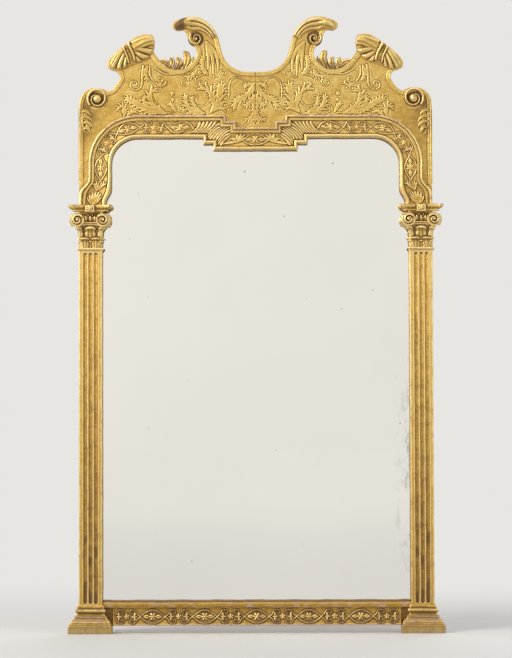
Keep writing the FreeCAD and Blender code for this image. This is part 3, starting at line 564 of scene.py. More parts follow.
def rounded(profile, steps=6, radius=0.8):
    """A profile of straight runs with its corners softened: each corner is cut back and bridged by an
    arc-like quadratic curve."""
    p = np.asarray(profile, float)
    rows, t = [p[:1]], np.linspace(0, 1, steps)[:, None]
    for before, corner, after in zip(p, p[1:], p[2:]):
        cut = min(radius, *(np.linalg.norm(end - corner) * 0.45 for end in (before, after)))
        a, b = corner + unit(before - corner) * cut, corner + unit(after - corner) * cut
        rows.append((1 - t) ** 2 * a + 2 * t * (1 - t) * corner + t ** 2 * b)
    return np.concatenate(rows + [p[-1:]])


def coil_face(centre, radius, plane, seat, rise, width, turns, start, hand, ground=2.0, eye=0.20, fall=0.85):
    """A scroll coiled on a round ground: a rounded band follows a spiral from the rim to the eye, which
    stands highest, and a wall runs back to the seat. The heights lie on rings about the centre, forward of a
    plane."""
    r = np.linspace(0, 1, 64)[:, None]
    angle = np.linspace(0, 2 * math.pi, 144)[None, :]
    relief = Relief(centre[0] + radius * r * np.cos(angle), centre[1] + radius * r * np.sin(angle))

    def shape(gap, share):
        return rise * (0.74 + 0.26 * share) * dome(gap / (width / 2 * (1 - 0.45 * share)), 0.75)

    relief.lay(spiral(centre, radius - width / 2, turns, start, hand, 0.12, 120, fall), width, shape)
    relief.egg(centre, radius * eye, radius * eye, rise * 1.04)
    relief.raised(ground * ramp(r, 1.0, 0.97))
    relief.height[:, -1] = relief.height[:, 0]
    face = pack(relief.u, plane - relief.height, relief.v)
    return [face, np.stack([face[-1], face[-1] * (1, 0, 1) + (0, seat, 0)])]


def draped(lower, upper, carve, rows=150, cols=72, edge=3.0):
    """A carved mass between two edge lines on the crest's face: points are ruled from one line to the other,
    carve raises a relief over them, the height falls to a thin edge all round, and a wall runs back into the
    board."""
    first, second = smooth_line(lower, rows), smooth_line(upper, rows)
    t, c = np.linspace(0, 1, rows)[:, None], np.linspace(0, 1, cols)[None, :]
    flat = first[:, None] * (1 - c[..., None]) + second[:, None] * c[..., None]
    relief = Relief(flat[..., 0], flat[..., 1])
    carve(relief, t, c)
    width = np.linalg.norm(second - first, axis=1)[:, None]
    gap = np.minimum(np.minimum(c, 1 - c) * width, np.minimum(t, 1 - t) * 2.2 * width.max())
    height = edge + (relief.height - edge) * eased(ramp(gap, 0, 9.0))
    return walled(pack(relief.u, FACE - height, relief.v), FACE + 1.0)


# Finishes


def node_group(name, inputs, outputs):
    """A new shader group with the given colour and value sockets."""
    group = bpy.data.node_groups.new(name, "ShaderNodeTree")
    kinds = {"c": "NodeSocketColor", "v": "NodeSocketFloat"}
    for title, kind in inputs:
        group.interface.new_socket(title, in_out="INPUT", socket_type=kinds[kind])
    for title, kind in outputs:
        group.interface.new_socket(title, in_out="OUTPUT", socket_type=kinds[kind])
    return group, group.nodes.new("NodeGroupInput"), group.nodes.new("NodeGroupOutput")


class Web:
    """Short ways to add linked shader nodes to one tree."""

    def __init__(self, tree):
        self.tree = tree

    def put(self, socket, value):
        if isinstance(value, bpy.types.NodeSocket):
            self.tree.links.new(value, socket)
        else:
            socket.default_value = value

    def math(self, kind, a, b=0.0, clamp=False):
        node = self.tree.nodes.new("ShaderNodeMath")
        node.operation, node.use_clamp = kind, clamp
        self.put(node.inputs[0], a)
        self.put(node.inputs[1], b)
        return node.outputs[0]

    def add(self, first, *others):
        for other in others:
            first = self.math("ADD", first, other)
        return first

    def times(self, a, b):
        return self.math("MULTIPLY", a, b)

    def most(self, a, b):
        return self.math("MAXIMUM", a, b)

    def line(self, value, low, high, to_low=0.0, to_high=1.0):
        return self.span(value, low, high, to_low, to_high, "LINEAR")

    def span(self, value, low, high, to_low=0.0, to_high=1.0, shape="SMOOTHSTEP"):
        node = self.tree.nodes.new("ShaderNodeMapRange")
        node.interpolation_type = shape
        for socket, amount in zip(node.inputs, (value, low, high, to_low, to_high)):
            self.put(socket, amount)
        return node.outputs[0]

    def mix(self, share, a, b):
        node = self.tree.nodes.new("ShaderNodeMix")
        node.data_type = "RGBA"
        self.put(node.inputs[0], share)
        self.put(node.inputs[6], a)
        self.put(node.inputs[7], b)
        return node.outputs[2]

    def noise(self, scale, detail=4.0, rough=0.55, stretch=(1, 1, 1), distortion=0.0):
        node = self.tree.nodes.new("ShaderNodeTexNoise")
        node.inputs["Scale"].default_value = scale
        node.inputs["Detail"].default_value = detail
        node.inputs["Roughness"].default_value = rough
        node.inputs["Distortion"].default_value = distortion
        where = self.tree.nodes.new("ShaderNodeMapping")
        where.inputs["Scale"].default_value = stretch
        self.tree.links.new(self.place(), where.inputs[0])
        self.tree.links.new(where.outputs[0], node.inputs["Vector"])
        return node.outputs[0]

    def place(self):
        return self.tree.nodes.new("ShaderNodeTexCoord").outputs["Object"]

    def axis(self, index):
        node = self.tree.nodes.new("ShaderNodeSeparateXYZ")
        self.tree.links.new(self.place(), node.inputs[0])
        return node.outputs[index]

    def attribute(self, name):
        node = self.tree.nodes.new("ShaderNodeAttribute")
        node.attribute_name = name
        return node.outputs["Fac"]

    def bump(self, height, strength, distance):
        node = self.tree.nodes.new("ShaderNodeBump")
        node.inputs["Strength"].default_value = strength
        node.inputs["Distance"].default_value = distance
        self.tree.links.new(height, node.inputs["Height"])
        return node.outputs[0]


def aged_gilding():
    """Shared effect of old water gilding. Slow noise moves the leaf between gold and deep gold, with fine
    mottling. High spots, by the crown attribute, are brightened, partly as burnishing and partly as a painted
    highlight, and in patches they are rubbed to bole and to pale ground; low spots deepen and take the grime
    colour, partly as grime and partly as painted shade in the recesses, more so towards the foot of the object,
    where the darker tone is partly dirt and partly painted shade of light that falls off downwards; the losses
    attribute adds larger losses that show the mauve-brown under the leaf and, below nought, more grime and
    painted shade."""
    group, given, out = node_group("Aged gilding", [
        ("Gold", "c"), ("Deep Gold", "c"), ("Bright Gold", "c"), ("Bole", "c"), ("Gesso", "c"), ("Grime", "c"),
        ("Wear", "v"), ("Dirt and Shade", "v"), ("Burnish and Highlight", "v")],
        [("Color", "c"), ("Metallic", "v"), ("Roughness", "v"), ("Height", "v")])
    web = Web(group)
    ask, add, times = given.outputs, web.add, web.times
    # Towards the foot: darker and less burnished, partly dirt and partly painted shade of light falling off downwards.
    foot = web.span(web.axis(2), 0.40, -0.62)
    high, loss_and_shade = web.attribute("crown"), web.attribute("bared")
    cloud = web.noise(6.0, 5.0, 0.6)
    patch = web.noise(34.0, 4.0, 0.62)
    fine = web.noise(150.0, 4.0, 0.65)
    speck = web.noise(480.0, 2.0, 0.5)
    tone = add(web.span(cloud, 0.36, 0.68, 0.0, 0.38), web.span(patch, 0.40, 0.70, 0.0, 0.24),
               web.span(fine, 0.42, 0.70, 0.0, 0.34), times(foot, 0.55))
    leaf = web.mix(web.math("MINIMUM", tone, 1.0), ask["Gold"], ask["Deep Gold"])
    # Low spots: partly grime, partly painted shade in the recesses, deepened by the dirt and shade amount.
    low = add(times(high, -1.0), times(fine, 0.55), times(patch, 0.4),
              times(foot, 0.26), times(ask["Dirt and Shade"], 0.25), -0.475)
    # Below nought the losses attribute darkens: grime, and painted shade where the sight edges meet the glass.
    low = add(low, web.line(loss_and_shade, -1.0, 0.0, 1.5, 0.0))
    leaf = web.mix(web.span(low, 0.0, 0.38, 0.0, 0.7), leaf, ask["Deep Gold"])
    # High spots brighten towards bright gold: partly burnishing, partly a painted highlight.
    proud = web.span(add(high, times(patch, 0.5), -0.25), 0.05, 0.70)
    leaf = web.mix(times(times(proud, ask["Burnish and Highlight"]), web.span(foot, 0.0, 1.0, 1.0, 0.7)), leaf, ask["Bright Gold"])
    rub = add(patch, times(fine, 0.5), times(ask["Wear"], 0.45), times(foot, 0.10))
    edge = web.span(high, 0.05, 0.4)
    rubbed, bare = times(web.span(rub, 0.98, 1.16), edge), times(web.span(rub, 1.12, 1.26), edge)
    worn = web.mix(times(rubbed, 0.6), leaf, ask["Bole"])
    worn = web.mix(times(bare, 0.85), worn, ask["Gesso"])
    gone = web.span(add(loss_and_shade, times(patch, 1.2), times(fine, 0.9), -1.05), 0.42, 0.68, 0.0, 0.9)
    worn = web.mix(gone, worn, web.mix(web.span(fine, 0.50, 0.76), ask["Gesso"], ask["Bole"]))
    # Grime colour over the low spots: partly grime, partly painted shade; the specks are dirt.
    grime_and_shade_mask = web.span(low, 0.20, 0.92, 0.0, 0.92)
    spots = times(web.span(speck, 0.55, 0.68), web.span(patch, 0.42, 0.62, 0.08, 0.55))
    grime_and_shade_mask = web.most(grime_and_shade_mask, spots)
    loss = web.most(grime_and_shade_mask, web.most(gone, times(rubbed, 0.6)))
    web.put(out.inputs["Color"], web.mix(grime_and_shade_mask, worn, ask["Grime"]))
    web.put(out.inputs["Metallic"], web.span(loss, 0.0, 1.0, 0.80, 0.05))
    web.put(out.inputs["Roughness"], add(web.span(patch, 0.3, 0.7, 0.38, 0.50),
                                         times(proud, -0.08), times(loss, 0.28)))
    web.put(out.inputs["Height"], add(times(fine, 0.7), times(speck, 0.2), times(patch, 0.9)))
    return group


def plain_material(name):
    """An empty material, its web and its Principled shader."""
    material = bpy.data.materials.new(name)
    material.use_nodes = True
    return material, Web(material.node_tree), material.node_tree.nodes["Principled BSDF"]


def rgba(colour, factor=1.0):
    return tuple(min(1.0, c * factor) for c in colour) + (1.0,)


def gilded(name, wear, dirt_and_shade, tint=1.0, burnish_and_highlight=0.9, rough=0.5):
    """Gilded gesso with its own wear, dirt and painted shade, burnishing and painted highlight, and unevenness."""
    material, web, shader = plain_material(name)
    c = colours()
    node = web.tree.nodes.new("ShaderNodeGroup")
    node.node_tree = bpy.data.node_groups.get("Aged gilding") or aged_gilding()
    values = {"Gold": rgba(c.gold, tint), "Deep Gold": rgba(c.deep_gold, tint),
              "Bright Gold": rgba(c.bright_gold, tint),
              "Bole": rgba(c.bole), "Gesso": rgba(c.gesso), "Grime": rgba(c.grime), "Wear": wear, "Dirt and Shade": dirt_and_shade,
              "Burnish and Highlight": burnish_and_highlight}
    for title, value in values.items():
        node.inputs[title].default_value = value
    for title, socket in (("Color", "Base Color"), ("Metallic", "Metallic"), ("Roughness", "Roughness")):
        web.put(shader.inputs[socket], node.outputs[title])
    web.put(shader.inputs["Normal"], web.bump(node.outputs["Height"], rough, 0.0007))
    return material


def grained(level, across, along):
    """Scale of a grain pattern: drawn out along the width of a level piece, or else along the height."""
    return (along, across, across) if level else (across, across, along)


def washed(name, wear, dirt_and_shade, tint, burnish_and_highlight, back, level=False):
    """Gilding that gives way, behind the given depth, to wood brushed with thin yellow ochre: the wash is
    streaked by the grain and worn to brown wood in patches."""
    material = gilded(name, wear, dirt_and_shade, tint, burnish_and_highlight)
    web, shader = Web(material.node_tree), material.node_tree.nodes["Principled BSDF"]
    leaf = {title: shader.inputs[title].links[0].from_socket for title in ("Base Color", "Metallic", "Roughness")}
    behind = web.span(web.axis(1), back, back + 0.006)
    streak, worn = web.noise(9.0, 8.0, 0.65, grained(level, 9.0, 0.6), 0.5), web.noise(7.0, 5.0, 0.65)
    wash = web.mix(web.span(streak, 0.32, 0.68), rgba(colours().ochre, 1.15), rgba(colours().ochre, 0.62))
    wash = web.mix(web.span(worn, 0.48, 0.70, 0.0, 0.7), wash, rgba(colours().pine, 0.8))
    web.put(shader.inputs["Base Color"], web.mix(behind, leaf["Base Color"], wash))
    web.put(shader.inputs["Metallic"], web.times(leaf["Metallic"], web.span(behind, 0.0, 1.0, 1.0, 0.0)))
    web.put(shader.inputs["Roughness"], web.add(leaf["Roughness"], web.times(behind, 0.3)))
    return material


FOXED, DUST = (0.23, 0.225, 0.20, 1.0), (0.24, 0.19, 0.14, 1.0)


def old_silvering(name):
    """Old mirror plate: grey silvering with faint clouds, foxing along one edge and small dark spots."""
    material, web, shader = plain_material(name)
    silver = colours().silver
    cloud = web.noise(2.2, 3.0)
    base = web.mix(web.span(cloud, 0.35, 0.7, 0.0, 0.35), rgba(silver), rgba(silver, 0.93))
    x, z = web.axis(0), web.axis(2)
    right = web.times(web.span(x, 0.335, 0.384), web.span(z, 0.10, -0.22))
    right = web.times(right, web.span(z, -0.60, -0.40))
    foxing = web.times(right, web.span(web.noise(46.0, 6.0, 0.72, (1, 1, 0.35)), 0.47, 0.66))
    specks = web.span(web.noise(90.0, 1.0, 0.4), 0.785, 0.81)
    marks = web.most(web.times(foxing, 0.55), web.times(specks, 0.6))
    web.put(shader.inputs["Base Color"], web.mix(marks, base, FOXED))
    shader.inputs["Metallic"].default_value = 1.0
    web.put(shader.inputs["Roughness"], web.add(web.times(marks, 0.35), web.span(cloud, 0.3, 0.7, 0.015, 0.04)))
    return material


def old_pine(name, tint=1.0, level=False):
    """Bare pine, darkened by age: grain streaks along the height, or along the width of a level piece, slow
    growth bands and dusty patches."""
    material, web, shader = plain_material(name)
    pine = colours().pine
    streak = web.noise(9.0, 8.0, 0.65, grained(level, 9.0, 0.45), 0.6)
    ring = web.noise(26.0, 2.0, 0.5, grained(level, 2.2, 0.10), 1.4)
    dust = web.noise(6.0, 4.0, 0.6)
    tone = web.add(web.span(streak, 0.30, 0.70, 0.0, 0.6), web.span(ring, 0.45, 0.60, 0.0, 0.4))
    wood = web.mix(tone, rgba(pine, 1.25 * tint), rgba(pine, 0.50 * tint))
    web.put(shader.inputs["Base Color"], web.mix(web.span(dust, 0.45, 0.75, 0.0, 0.35), wood, DUST))
    web.put(shader.inputs["Roughness"], web.span(streak, 0.3, 0.7, 0.62, 0.82))
    web.put(shader.inputs["Normal"], web.bump(tone, 0.5, 0.0006))
    return material


def old_metal(name, colour, metallic, rough):
    """Aged metal: colour clouded by handling and dark in spots."""
    material, web, shader = plain_material(name)
    cloud, spot = web.noise(60.0, 5.0, 0.6), web.noise(420.0, 3.0, 0.6)
    mask = web.math("ADD", web.span(cloud, 0.35, 0.7, 0.0, 0.6), web.span(spot, 0.5, 0.75, 0.0, 0.4), clamp=True)
    web.put(shader.inputs["Base Color"], web.mix(mask, rgba(colour, 1.15), rgba(colour, 0.5)))
    shader.inputs["Metallic"].default_value = metallic
    web.put(shader.inputs["Roughness"], web.span(mask, 0.0, 1.0, rough, rough + 0.25))
    web.put(shader.inputs["Normal"], web.bump(spot, 0.3, 0.0003))
    return material


def finish(name, maker, *values):
    """A finish by name, made once."""
    return bpy.data.materials.get(name) or maker(name, *values)


GILDING = {  # wear, dirt and painted shade, tint, burnishing and painted highlight, and unevenness of each part's leaf
    "crest": (0.15, 0.92, 1.0, 0.12, 0.9),
    "crest_carving": (0.35, 0.95, 0.92),
    "moulding": (0.35, 0.50, 0.96),
    "pilaster": (0.30, 0.0, 1.04, 1.0),
    "capital": (0.35, 1.4, 0.90, 1.0),
    "foot": (0.34, 0.80, 0.66, 1.0),
    "rail": (0.34, 0.80, 0.87, 1.0),
    "strip": (0.34, 0.40, 0.98, 1.0),
}


def gilt(part):
    """The gilding of a part of the frame."""
    return finish(part + "_gilding", gilded, *GILDING[part])


def dress(material, *nodes):
    """Gives joinery nodes a finish in place of their plain slots."""
    for node in nodes:
        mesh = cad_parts[node].data
        mesh.materials.clear()
        mesh.materials.append(material)


# Pilasters


def shaft_surface():
    """Fluted shaft: the front is lowered by three half-round grooves with round ends, and the sides run back
    to the carcass."""
    low, high = levels("right_shaft")
    ends = np.linspace(0, 22, 30)
    z = np.concatenate([low + ends, np.linspace(low + 24, high - 24, 150), high - ends[::-1]])[:, None]
    x, y, _, out_y = wrapped_path(HALF_SHAFT, SHAFT_DEPTH, np.zeros(len(z)), 1.5, 6, 160)
    radius, margin, share = 5.1, 2.5, 0.78
    reach = np.clip(z, low + margin + radius, high - margin - radius)
    for k in (-1, 0, 1):
        gap = np.hypot(x - k * FLUTE_PITCH, z - reach)
        y = y + np.where(out_y < FRONTAL, share * radius * dome(gap / radius), 0)
    return backed(pack(PILASTER_X + x, y, z))


def base_profile():
    """Rows of the base, from the plinth up: a leaning ogee, a hollow, a half-round torus and a fillet."""
    low, high = levels("right_base_moulding")
    t = np.linspace(0, 1, 16)
    ogee = pack(21.5 - 10.5 * (t ** 2 * (3 - 2 * t)), low + 5 + 15 * t)
    hollow = pack(9.0 - 3.8 * np.sin(math.pi * t / 2), low + 22.5 + 8.0 * t)
    return profile_of((23.0, low), (23.4, low + 1), (23.2, low + 4.2), ogee, (11.2, low + 20.4), (11.0, low + 22.2),
                      hollow, (4.4, low + 30.9), half_round(4.6, low + 35.6, 4.6, 18), (4.5, low + 40.4),
                      (4.4, high - 4), (3.4, high - 1), (2.6, high))


def plinth_profile():
    """Rows of the plinth: a plain block with worn edges."""
    top, edge = levels("right_plinth")[1], 25.7
    return rounded([(edge - 3, 0.0), (edge - 0.6, 0.0), (edge, 1.0), (edge, top - 1.2),
                    (edge - 1.0, top), (20.0, top)],
                   radius=1.2)


def soiled_flutes(x, y, z):
    """Streaks of grime low down in the flutes, at other heights in each flute, and a band of it at their
    foot."""
    flute = np.round((x - PILASTER_X) / FLUTE_PITCH)
    deep = (np.abs(flute) < 1.5) * ramp(y, SHAFT_FRONT + 2.2, SHAFT_FRONT + 3.6)
    streak = np.clip(np.sin(z / 21 + 2.4 * flute) + 0.7 * np.sin(z / 9 + 1.3 * flute) - 0.5, 0, 1)
    foot = ramp(z, SHAFT_LOW[2] + 40, SHAFT_LOW[2] + 16)
    return -0.34 * deep * np.maximum(streak * ramp(z, 340, 180), foot)


def astragal_profile():
    """Rows of the astragal: a fillet and a half-round bead."""
    low, high = levels("right_astragal")
    return profile_of((0.6, low), (1.8, low + 0.4), (1.8, low + 2.8),
                      half_round(1.6, low + 6.4, 3.2, 16), (0.8, high))


def bell_surface():
    """Bell of the capital: it flares upwards, and two rows of leaves stand on it with tips that curl out. The
    leaves are laid out on the unrolled front and sides."""
    low, high = levels("right_capital_bell")[0], levels("right_capital_volutes")[0] + 3.0
    span = high - low
    z = np.linspace(low, high, 110)[:, None]
    flare = 0.8 + 8.0 * ((z - low) / span) ** 2.2
    x, y, out_x, out_y = wrapped_path(HALF_SHAFT - 4.0, SHAFT_DEPTH - 4.0, flare, 3.0, 16, 110)
    run = run_length(pack(x[0], y[0]))
    relief = Relief(run - run[-1] / 2, z)
    for centre, half in ((-39.0, 8.0), (-23.5, 7.0), (0.0, 12.5), (23.5, 7.0), (39.0, 8.0)):
        relief.tongue(centre, low + 0.20 * span, high - 8.0, half, 7.0)
    for centre, half in ((-39.0, 9.0), (-13.5, 12.0), (13.5, 12.0), (39.0, 9.0)):
        relief.tongue(centre, low - 6.0, low + 0.43 * span, half, 8.6)
    for centre in (-27.0, 0.0, 27.0):
        relief.tongue(centre, low - 6.0, low + 0.30 * span, 5.0, 5.4)
    return backed(pack(PILASTER_X + x + out_x * relief.height, y + out_y * relief.height, z))


def echinus_surface():
    """Band between the volutes: three eggs in their shells over two beads, on a block that returns to the
    face."""
    low, high = levels("right_capital_volutes")[0] - 5.0, levels("right_abacus")[0] + 0.5
    z = np.linspace(low, high, 70)[:, None]
    x, y, _, out_y = wrapped_path(HALF_SHAFT + 2.0, SHAFT_DEPTH + 2.0, np.zeros(len(z)), 3.0, 10, 100)
    relief, middle = Relief(x, z), low + 20.0
    for across in (-11.0, 0.0, 11.0):
        relief.egg((across, middle), 3.4, 7.4, 6.6)
        for side in (-1, 1):
            relief.strap([(across + side * 5.0, middle + 9), (across + side * 4.6, middle - 3),
                          (across + side * 1.2, middle - 8.6)], 1.8, 4.4)
    for level, width, rise in ((low + 8.6, 4.4, 5.4), (low + 3.2, 3.4, 3.4)):
        relief.strap([(-26, level), (26, level)], width, rise, smooth=False)
    return backed(pack(PILASTER_X + x, y + np.where(out_y < FRONTAL, out_y * relief.height, 0), z))


def capital_volute_surfaces():
    """Four coiled volutes: two that face the viewer and one that faces out on each side. They are drawn a
    little larger and lower than the turned blocks behind them."""
    low, high = extent("right_capital_volutes")
    core = (high[2] - low[2]) / 2
    middle, radius, reach = low[2] + core - 5.0, core + 2.6, (high[0] - low[0]) / 2 - core + 1.0
    plane = low[1] + 9.0
    shapes = []
    for side in (-1, 1):
        shapes += coil_face((PILASTER_X + side * reach, middle), radius, plane, SHAFT_FRONT, 8.4, 7.0, 1.55,
                            90 + side * 50, -side, 1.0, 0.24)
        for sheet in coil_face((0.0, middle), radius * 0.88, 0.0, 22.0, 5.0, 5.6, 1.5,
                               90 - side * 50, side, 1.5, 0.24):
            shapes.append(pack(PILASTER_X + side * (reach + radius - 1.4 - sheet[..., 1]),
                               plane + radius + 2.0 + sheet[..., 0], sheet[..., 2]))
    return shapes


def abacus_surface():
    """Slab of the capital: in plan a hollow front between cut-off horns, carried up a profile of cavetto,
    fillet and ovolo, and closed above and below."""
    low, high = extent("right_abacus")
    half, height = (high[0] - low[0]) / 2 - 0.4, high[2] - low[2]
    front, horn, hollow = SHAFT_FRONT - 26.6, 9.0, 9.0
    s, t = np.linspace(-1, 1, 60), np.linspace(0, 1, 10)[1:]
    arc = pack(s * (half - horn), front + hollow * (1 - s ** 2))
    corner = np.linspace((half - horn, front), (half, front + horn), 5)[1:]
    side = pack(half - 4.0 * np.sin(math.pi * t), front + horn + t * (FACE - front - horn))
    right = np.concatenate([corner, side])
    plan = np.concatenate([(right * (-1, 1))[::-1], arc, right])
    t = np.linspace(0, 1, 12)
    cavetto = pack(11.0 - 9.0 * t ** 2.2, 0.4 + height * 0.52 * t)
    ovolo = pack(1.0 - np.sin(math.pi * t), height * (0.62 + 0.32 * t))
    profile = profile_of((13.0, 0.0), cavetto, (1.9, height * 0.58), (0.9, height * 0.60), ovolo,
                         (0.3, height * 0.97), (1.2, height - 0.1))
    inset = profile[:, 0][:, None, None]
    rows = (plan[None] - (0, FACE)) * (1 - inset / (half, FACE - front)) + (0, FACE)
    body = pack(PILASTER_X + rows[..., 0], rows[..., 1], low[2] + profile[:, 1:])
    return backed(body) + capped(body)[1:]


def fleuron_surface():
    """Tablet at the middle of the abacus: a slightly domed upright panel with a raised flower, and walls back
    to the slab."""
    low, high = levels("right_abacus")
    s, c = np.linspace(-1, 1, 60)[:, None], np.linspace(-1, 1, 44)[None, :]
    half, bottom, top = 11.5, low - 3.0, high - 1.4
    middle = (bottom + top) / 2
    relief = Relief(s * half, middle + (top - bottom) / 2 * c)
    relief.flower((0.0, middle), 7.6, 2.6, 5)
    edge = np.minimum(ramp(np.abs(s), 1.0, 0.90), ramp(np.abs(c), 1.0, 0.86))
    height = 2.6 * eased(edge) + relief.height
    return walled(pack(PILASTER_X + relief.u, SHAFT_FRONT - 19.0 - height, relief.v), SHAFT_FRONT - 4.0)


def rubbed_base(x, y, z):
    """The flare above each plinth is rubbed along the ridges that feet and brooms reach; the block below it
    is touched at its lower edge."""
    return 0.58 * np.exp(-((z - 34.0) / 14.0) ** 2) + 0.3 * ramp(z, 4.0, 1.0)


class PIERMIRROR_OT_pilasters(bpy.types.Operator):
    """Carve the plinths, bases and fluted shafts"""
    bl_idname = "pier_mirror.pilasters"
    bl_label = "Pilasters"

    def execute(self, context):
        both_sides("plinth_block", wrapped(plinth_profile(), 2.2), gilt("foot"), ["plinth"], waver=1.6,
                   bared=rubbed_base)
        both_sides("base_mouldings", wrapped(base_profile(), 1.2), gilt("rail"), ["base_moulding"], waver=1.4,
                   bared=rubbed_base)
        both_sides("fluted_shaft", shaft_surface(), gilt("pilaster"), ["shaft"], sharp=50, reach=1.6,
                   bared=soiled_flutes)
        return {"FINISHED"}


class PIERMIRROR_OT_capitals(bpy.types.Operator):
    """Carve the astragals, leafy bells, volutes and abaci"""
    bl_idname = "pier_mirror.capitals"
    bl_label = "Capitals"

    def execute(self, context):
        leaf = gilt("capital")
        both_sides("astragal_ring", wrapped(astragal_profile(), 1.2), leaf, ["astragal"])
        both_sides("capital_leaves", bell_surface() + echinus_surface(), leaf, ["capital_bell"], sharp=60, reach=2.0)
        both_sides("capital_scrolls", capital_volute_surfaces(), leaf, ["capital_volutes"], sharp=60, reach=2.0)
        both_sides("capital_abacus", abacus_surface() + fleuron_surface(), leaf, ["abacus"], sharp=45)
        return {"FINISHED"}


# Arch and bottom mouldings


def swing_x(z, low, high, start, end):
    """Width of an ogee at each height: a cubic whose handles stand upright at both ends."""
    t = np.linspace(0, 1, 200)
    middle = (low + high) / 2
    height = low * (1 - t) ** 3 + 3 * middle * t * (1 - t) + high * t ** 3
    width = start * ((1 - t) ** 3 + 3 * t * (1 - t) ** 2) + end * (3 * t ** 2 * (1 - t) + t ** 3)
    return np.interp(z, height, width)


class ArchRun:
    """One run of the arch moulding: its sight edge, outer edge and length along the middle."""

    def __init__(self, sight, outer, start):
        self.sight, self.outer = sight, outer
        self.run = start + run_length((sight + outer) / 2)
        self.end = self.run[-1]


def arch_runs():
    """Runs of the right-hand half, from the foot on the capital to the middle of the head: the foot, the
    quarter turn, the level run and the list of stepped runs."""
    foot, spring = CAPITAL_TOP, ARCH_LOW[2]
    centre, top = ARCH_LOW[0], spring + TURN_RADIUS
    z = np.linspace(foot, spring, 150)
    inner = swing_x(z, foot, foot + FOOT_FLARE, FOOT_SIGHT, SIGHT_HALF)
    outer = swing_x(z, foot + FOOT_FLARE / 2, foot + FOOT_FLARE * 1.5, FOOT_OUTER, SIGHT_HALF + ARCH_WIDTH)
    foot_run = ArchRun(pack(inner, z), pack(outer, z), 0)
    a = np.linspace(0, math.pi / 2, 200)
    ring = pack(np.cos(a), np.sin(a))
    turn = ArchRun((centre, spring) + TURN_RADIUS * ring, (centre, spring) + (TURN_RADIUS + ARCH_WIDTH) * ring,
                   foot_run.end)
    (wide, narrow), below, bottom = STEP_HALVES, top - STEP_DROP, top - 2 * STEP_DROP
    sights = np.array([(centre, top), (wide, top), (wide, below), (narrow, below), (narrow, bottom), (0, bottom)])
    outers = sights + (-ARCH_WIDTH, ARCH_WIDTH)
    outers[[0, -1], 0] = centre, 0
    runs, start = [], turn.end
    for k, count in enumerate((250, 22, 34, 22, 110)):
        runs.append(ArchRun(np.linspace(sights[k], sights[k + 1], count),
                            np.linspace(outers[k], outers[k + 1], count),
                            start))
        start = runs[-1].end
    return foot_run, turn, runs[0], runs[1:]


def arch_profile():
    """Section of the arch moulding as (distance across, rise) rows: a sight bead, a shallow hollow field, a
    fillet and an outer bead."""
    t, w = np.linspace(0, math.pi, 14), np.linspace(10.6, 42.6, 74)
    bead = pack(4.9 - 4.7 * np.cos(t), 6.6 + 6.2 * np.sin(t))
    field = pack(w, 6.6 - 2.0 * np.sin(math.pi * (w - 10.6) / 32.0))
    outer = pack(53.6 - 3.1 * np.cos(t), 12.6 + 5.0 * np.sin(t))
    return profile_of((-0.3, -14.6), (-0.3, 3.0), bead, (10.0, 6.2), field, (43.0, 7.4), (43.2, 11.2), (43.8, 12.0),
                      (47.0, 12.2), (49.6, 12.1), (50.2, 11.2), outer, (56.9, 8.0), (56.9, -1.0))


def arch_surface(run, ornament):
    """A run of moulding: the section stretched between the sight edge and the outer edge, with the ornament
    laid on its hollow field."""
    w, rise = arch_profile().T
    relief = Relief(run.run[:, None], w)
    ornament(relief)
    height = rise + relief.height * ramp(w, 10.4, 11.6) * ramp(w, 43.0, 42.0)
    share = (w / ARCH_WIDTH)[None, :, None]
    flat = run.sight[:, None] * (1 - share) + run.outer[:, None] * share
    return pack(flat[..., 0], FACE - height, flat[..., 1])


def arch_shapes():
    """Right-hand pieces of the arch: foot, quarter turn, level run, and half of the stepped middle."""
    foot, turn, level, stepped = arch_runs()
    rise, middle, swing = 3.2, 26.6, 14.6
    pitch = 1.06 * sizes().guilloche * MM
    edge, top = 11.5, 43

    def band(relief):
        relief.band(64.0, level.end - 52.0, middle, swing, pitch, rise)

    def foot_ornament(relief):
        band(relief)
        for lean in (-1.0, -0.62, -0.30, 0.0, 0.30, 0.62, 1.0):
            tip = (4 + 34 * math.cos(lean), middle + 15.5 * math.sin(lean * 1.2))
            bend = (4 + 18 * math.cos(lean), middle + 11 * math.sin(lean * 1.25))
            relief.blade([(1, middle), bend, tip], 2.9, rise * 1.1, 0.6)
        relief.flower((3, middle), 6.0, rise * 1.3, 8)
        for up in (1, -1):
            relief.acanthus([(38, middle), (48, middle + up * 4), (58, middle + up * 12)], 8.0, rise)

    def level_ornament(relief):
        band(relief)
        for k in range(6):
            start = level.end - 52 + k * 8.5
            relief.blade([(start + 6, edge), (start + 12, 26), (start + 4 + k, top)], 4.6, rise * 1.15)

    def step_ornament(relief):
        for k in range(9):
            start = level.end - 8 + k * 8.2
            relief.blade([(start + 5, edge), (start + 1, 27), (start + 8, top)], 4.4, rise * 1.25)
        end, reach = stepped[-1].end, 24.0
        for lean in np.linspace(-1.15, 1.15, 5):
            fan = [(end - 42 + reach * share * math.sin(lean * turned),
                    20.0 + reach * share * math.cos(lean * turned))
                   for share, turned in ((0, 1), (0.55, 0.8), (1, 1))]
            relief.blade(fan, 4.2, rise * 1.2)
        relief.blade([(end - 38, 22), (end - 56, 19), (end - 74, 14)], 4.4, rise)
        relief.oval((end, 27), 33.0, swing, rise)

    return {"foot": [arch_surface(foot, foot_ornament)], "turn": [arch_surface(turn, band)],
            "level": [arch_surface(level, level_ornament)],
            "steps": [arch_surface(run, step_ornament) for run in stepped]}


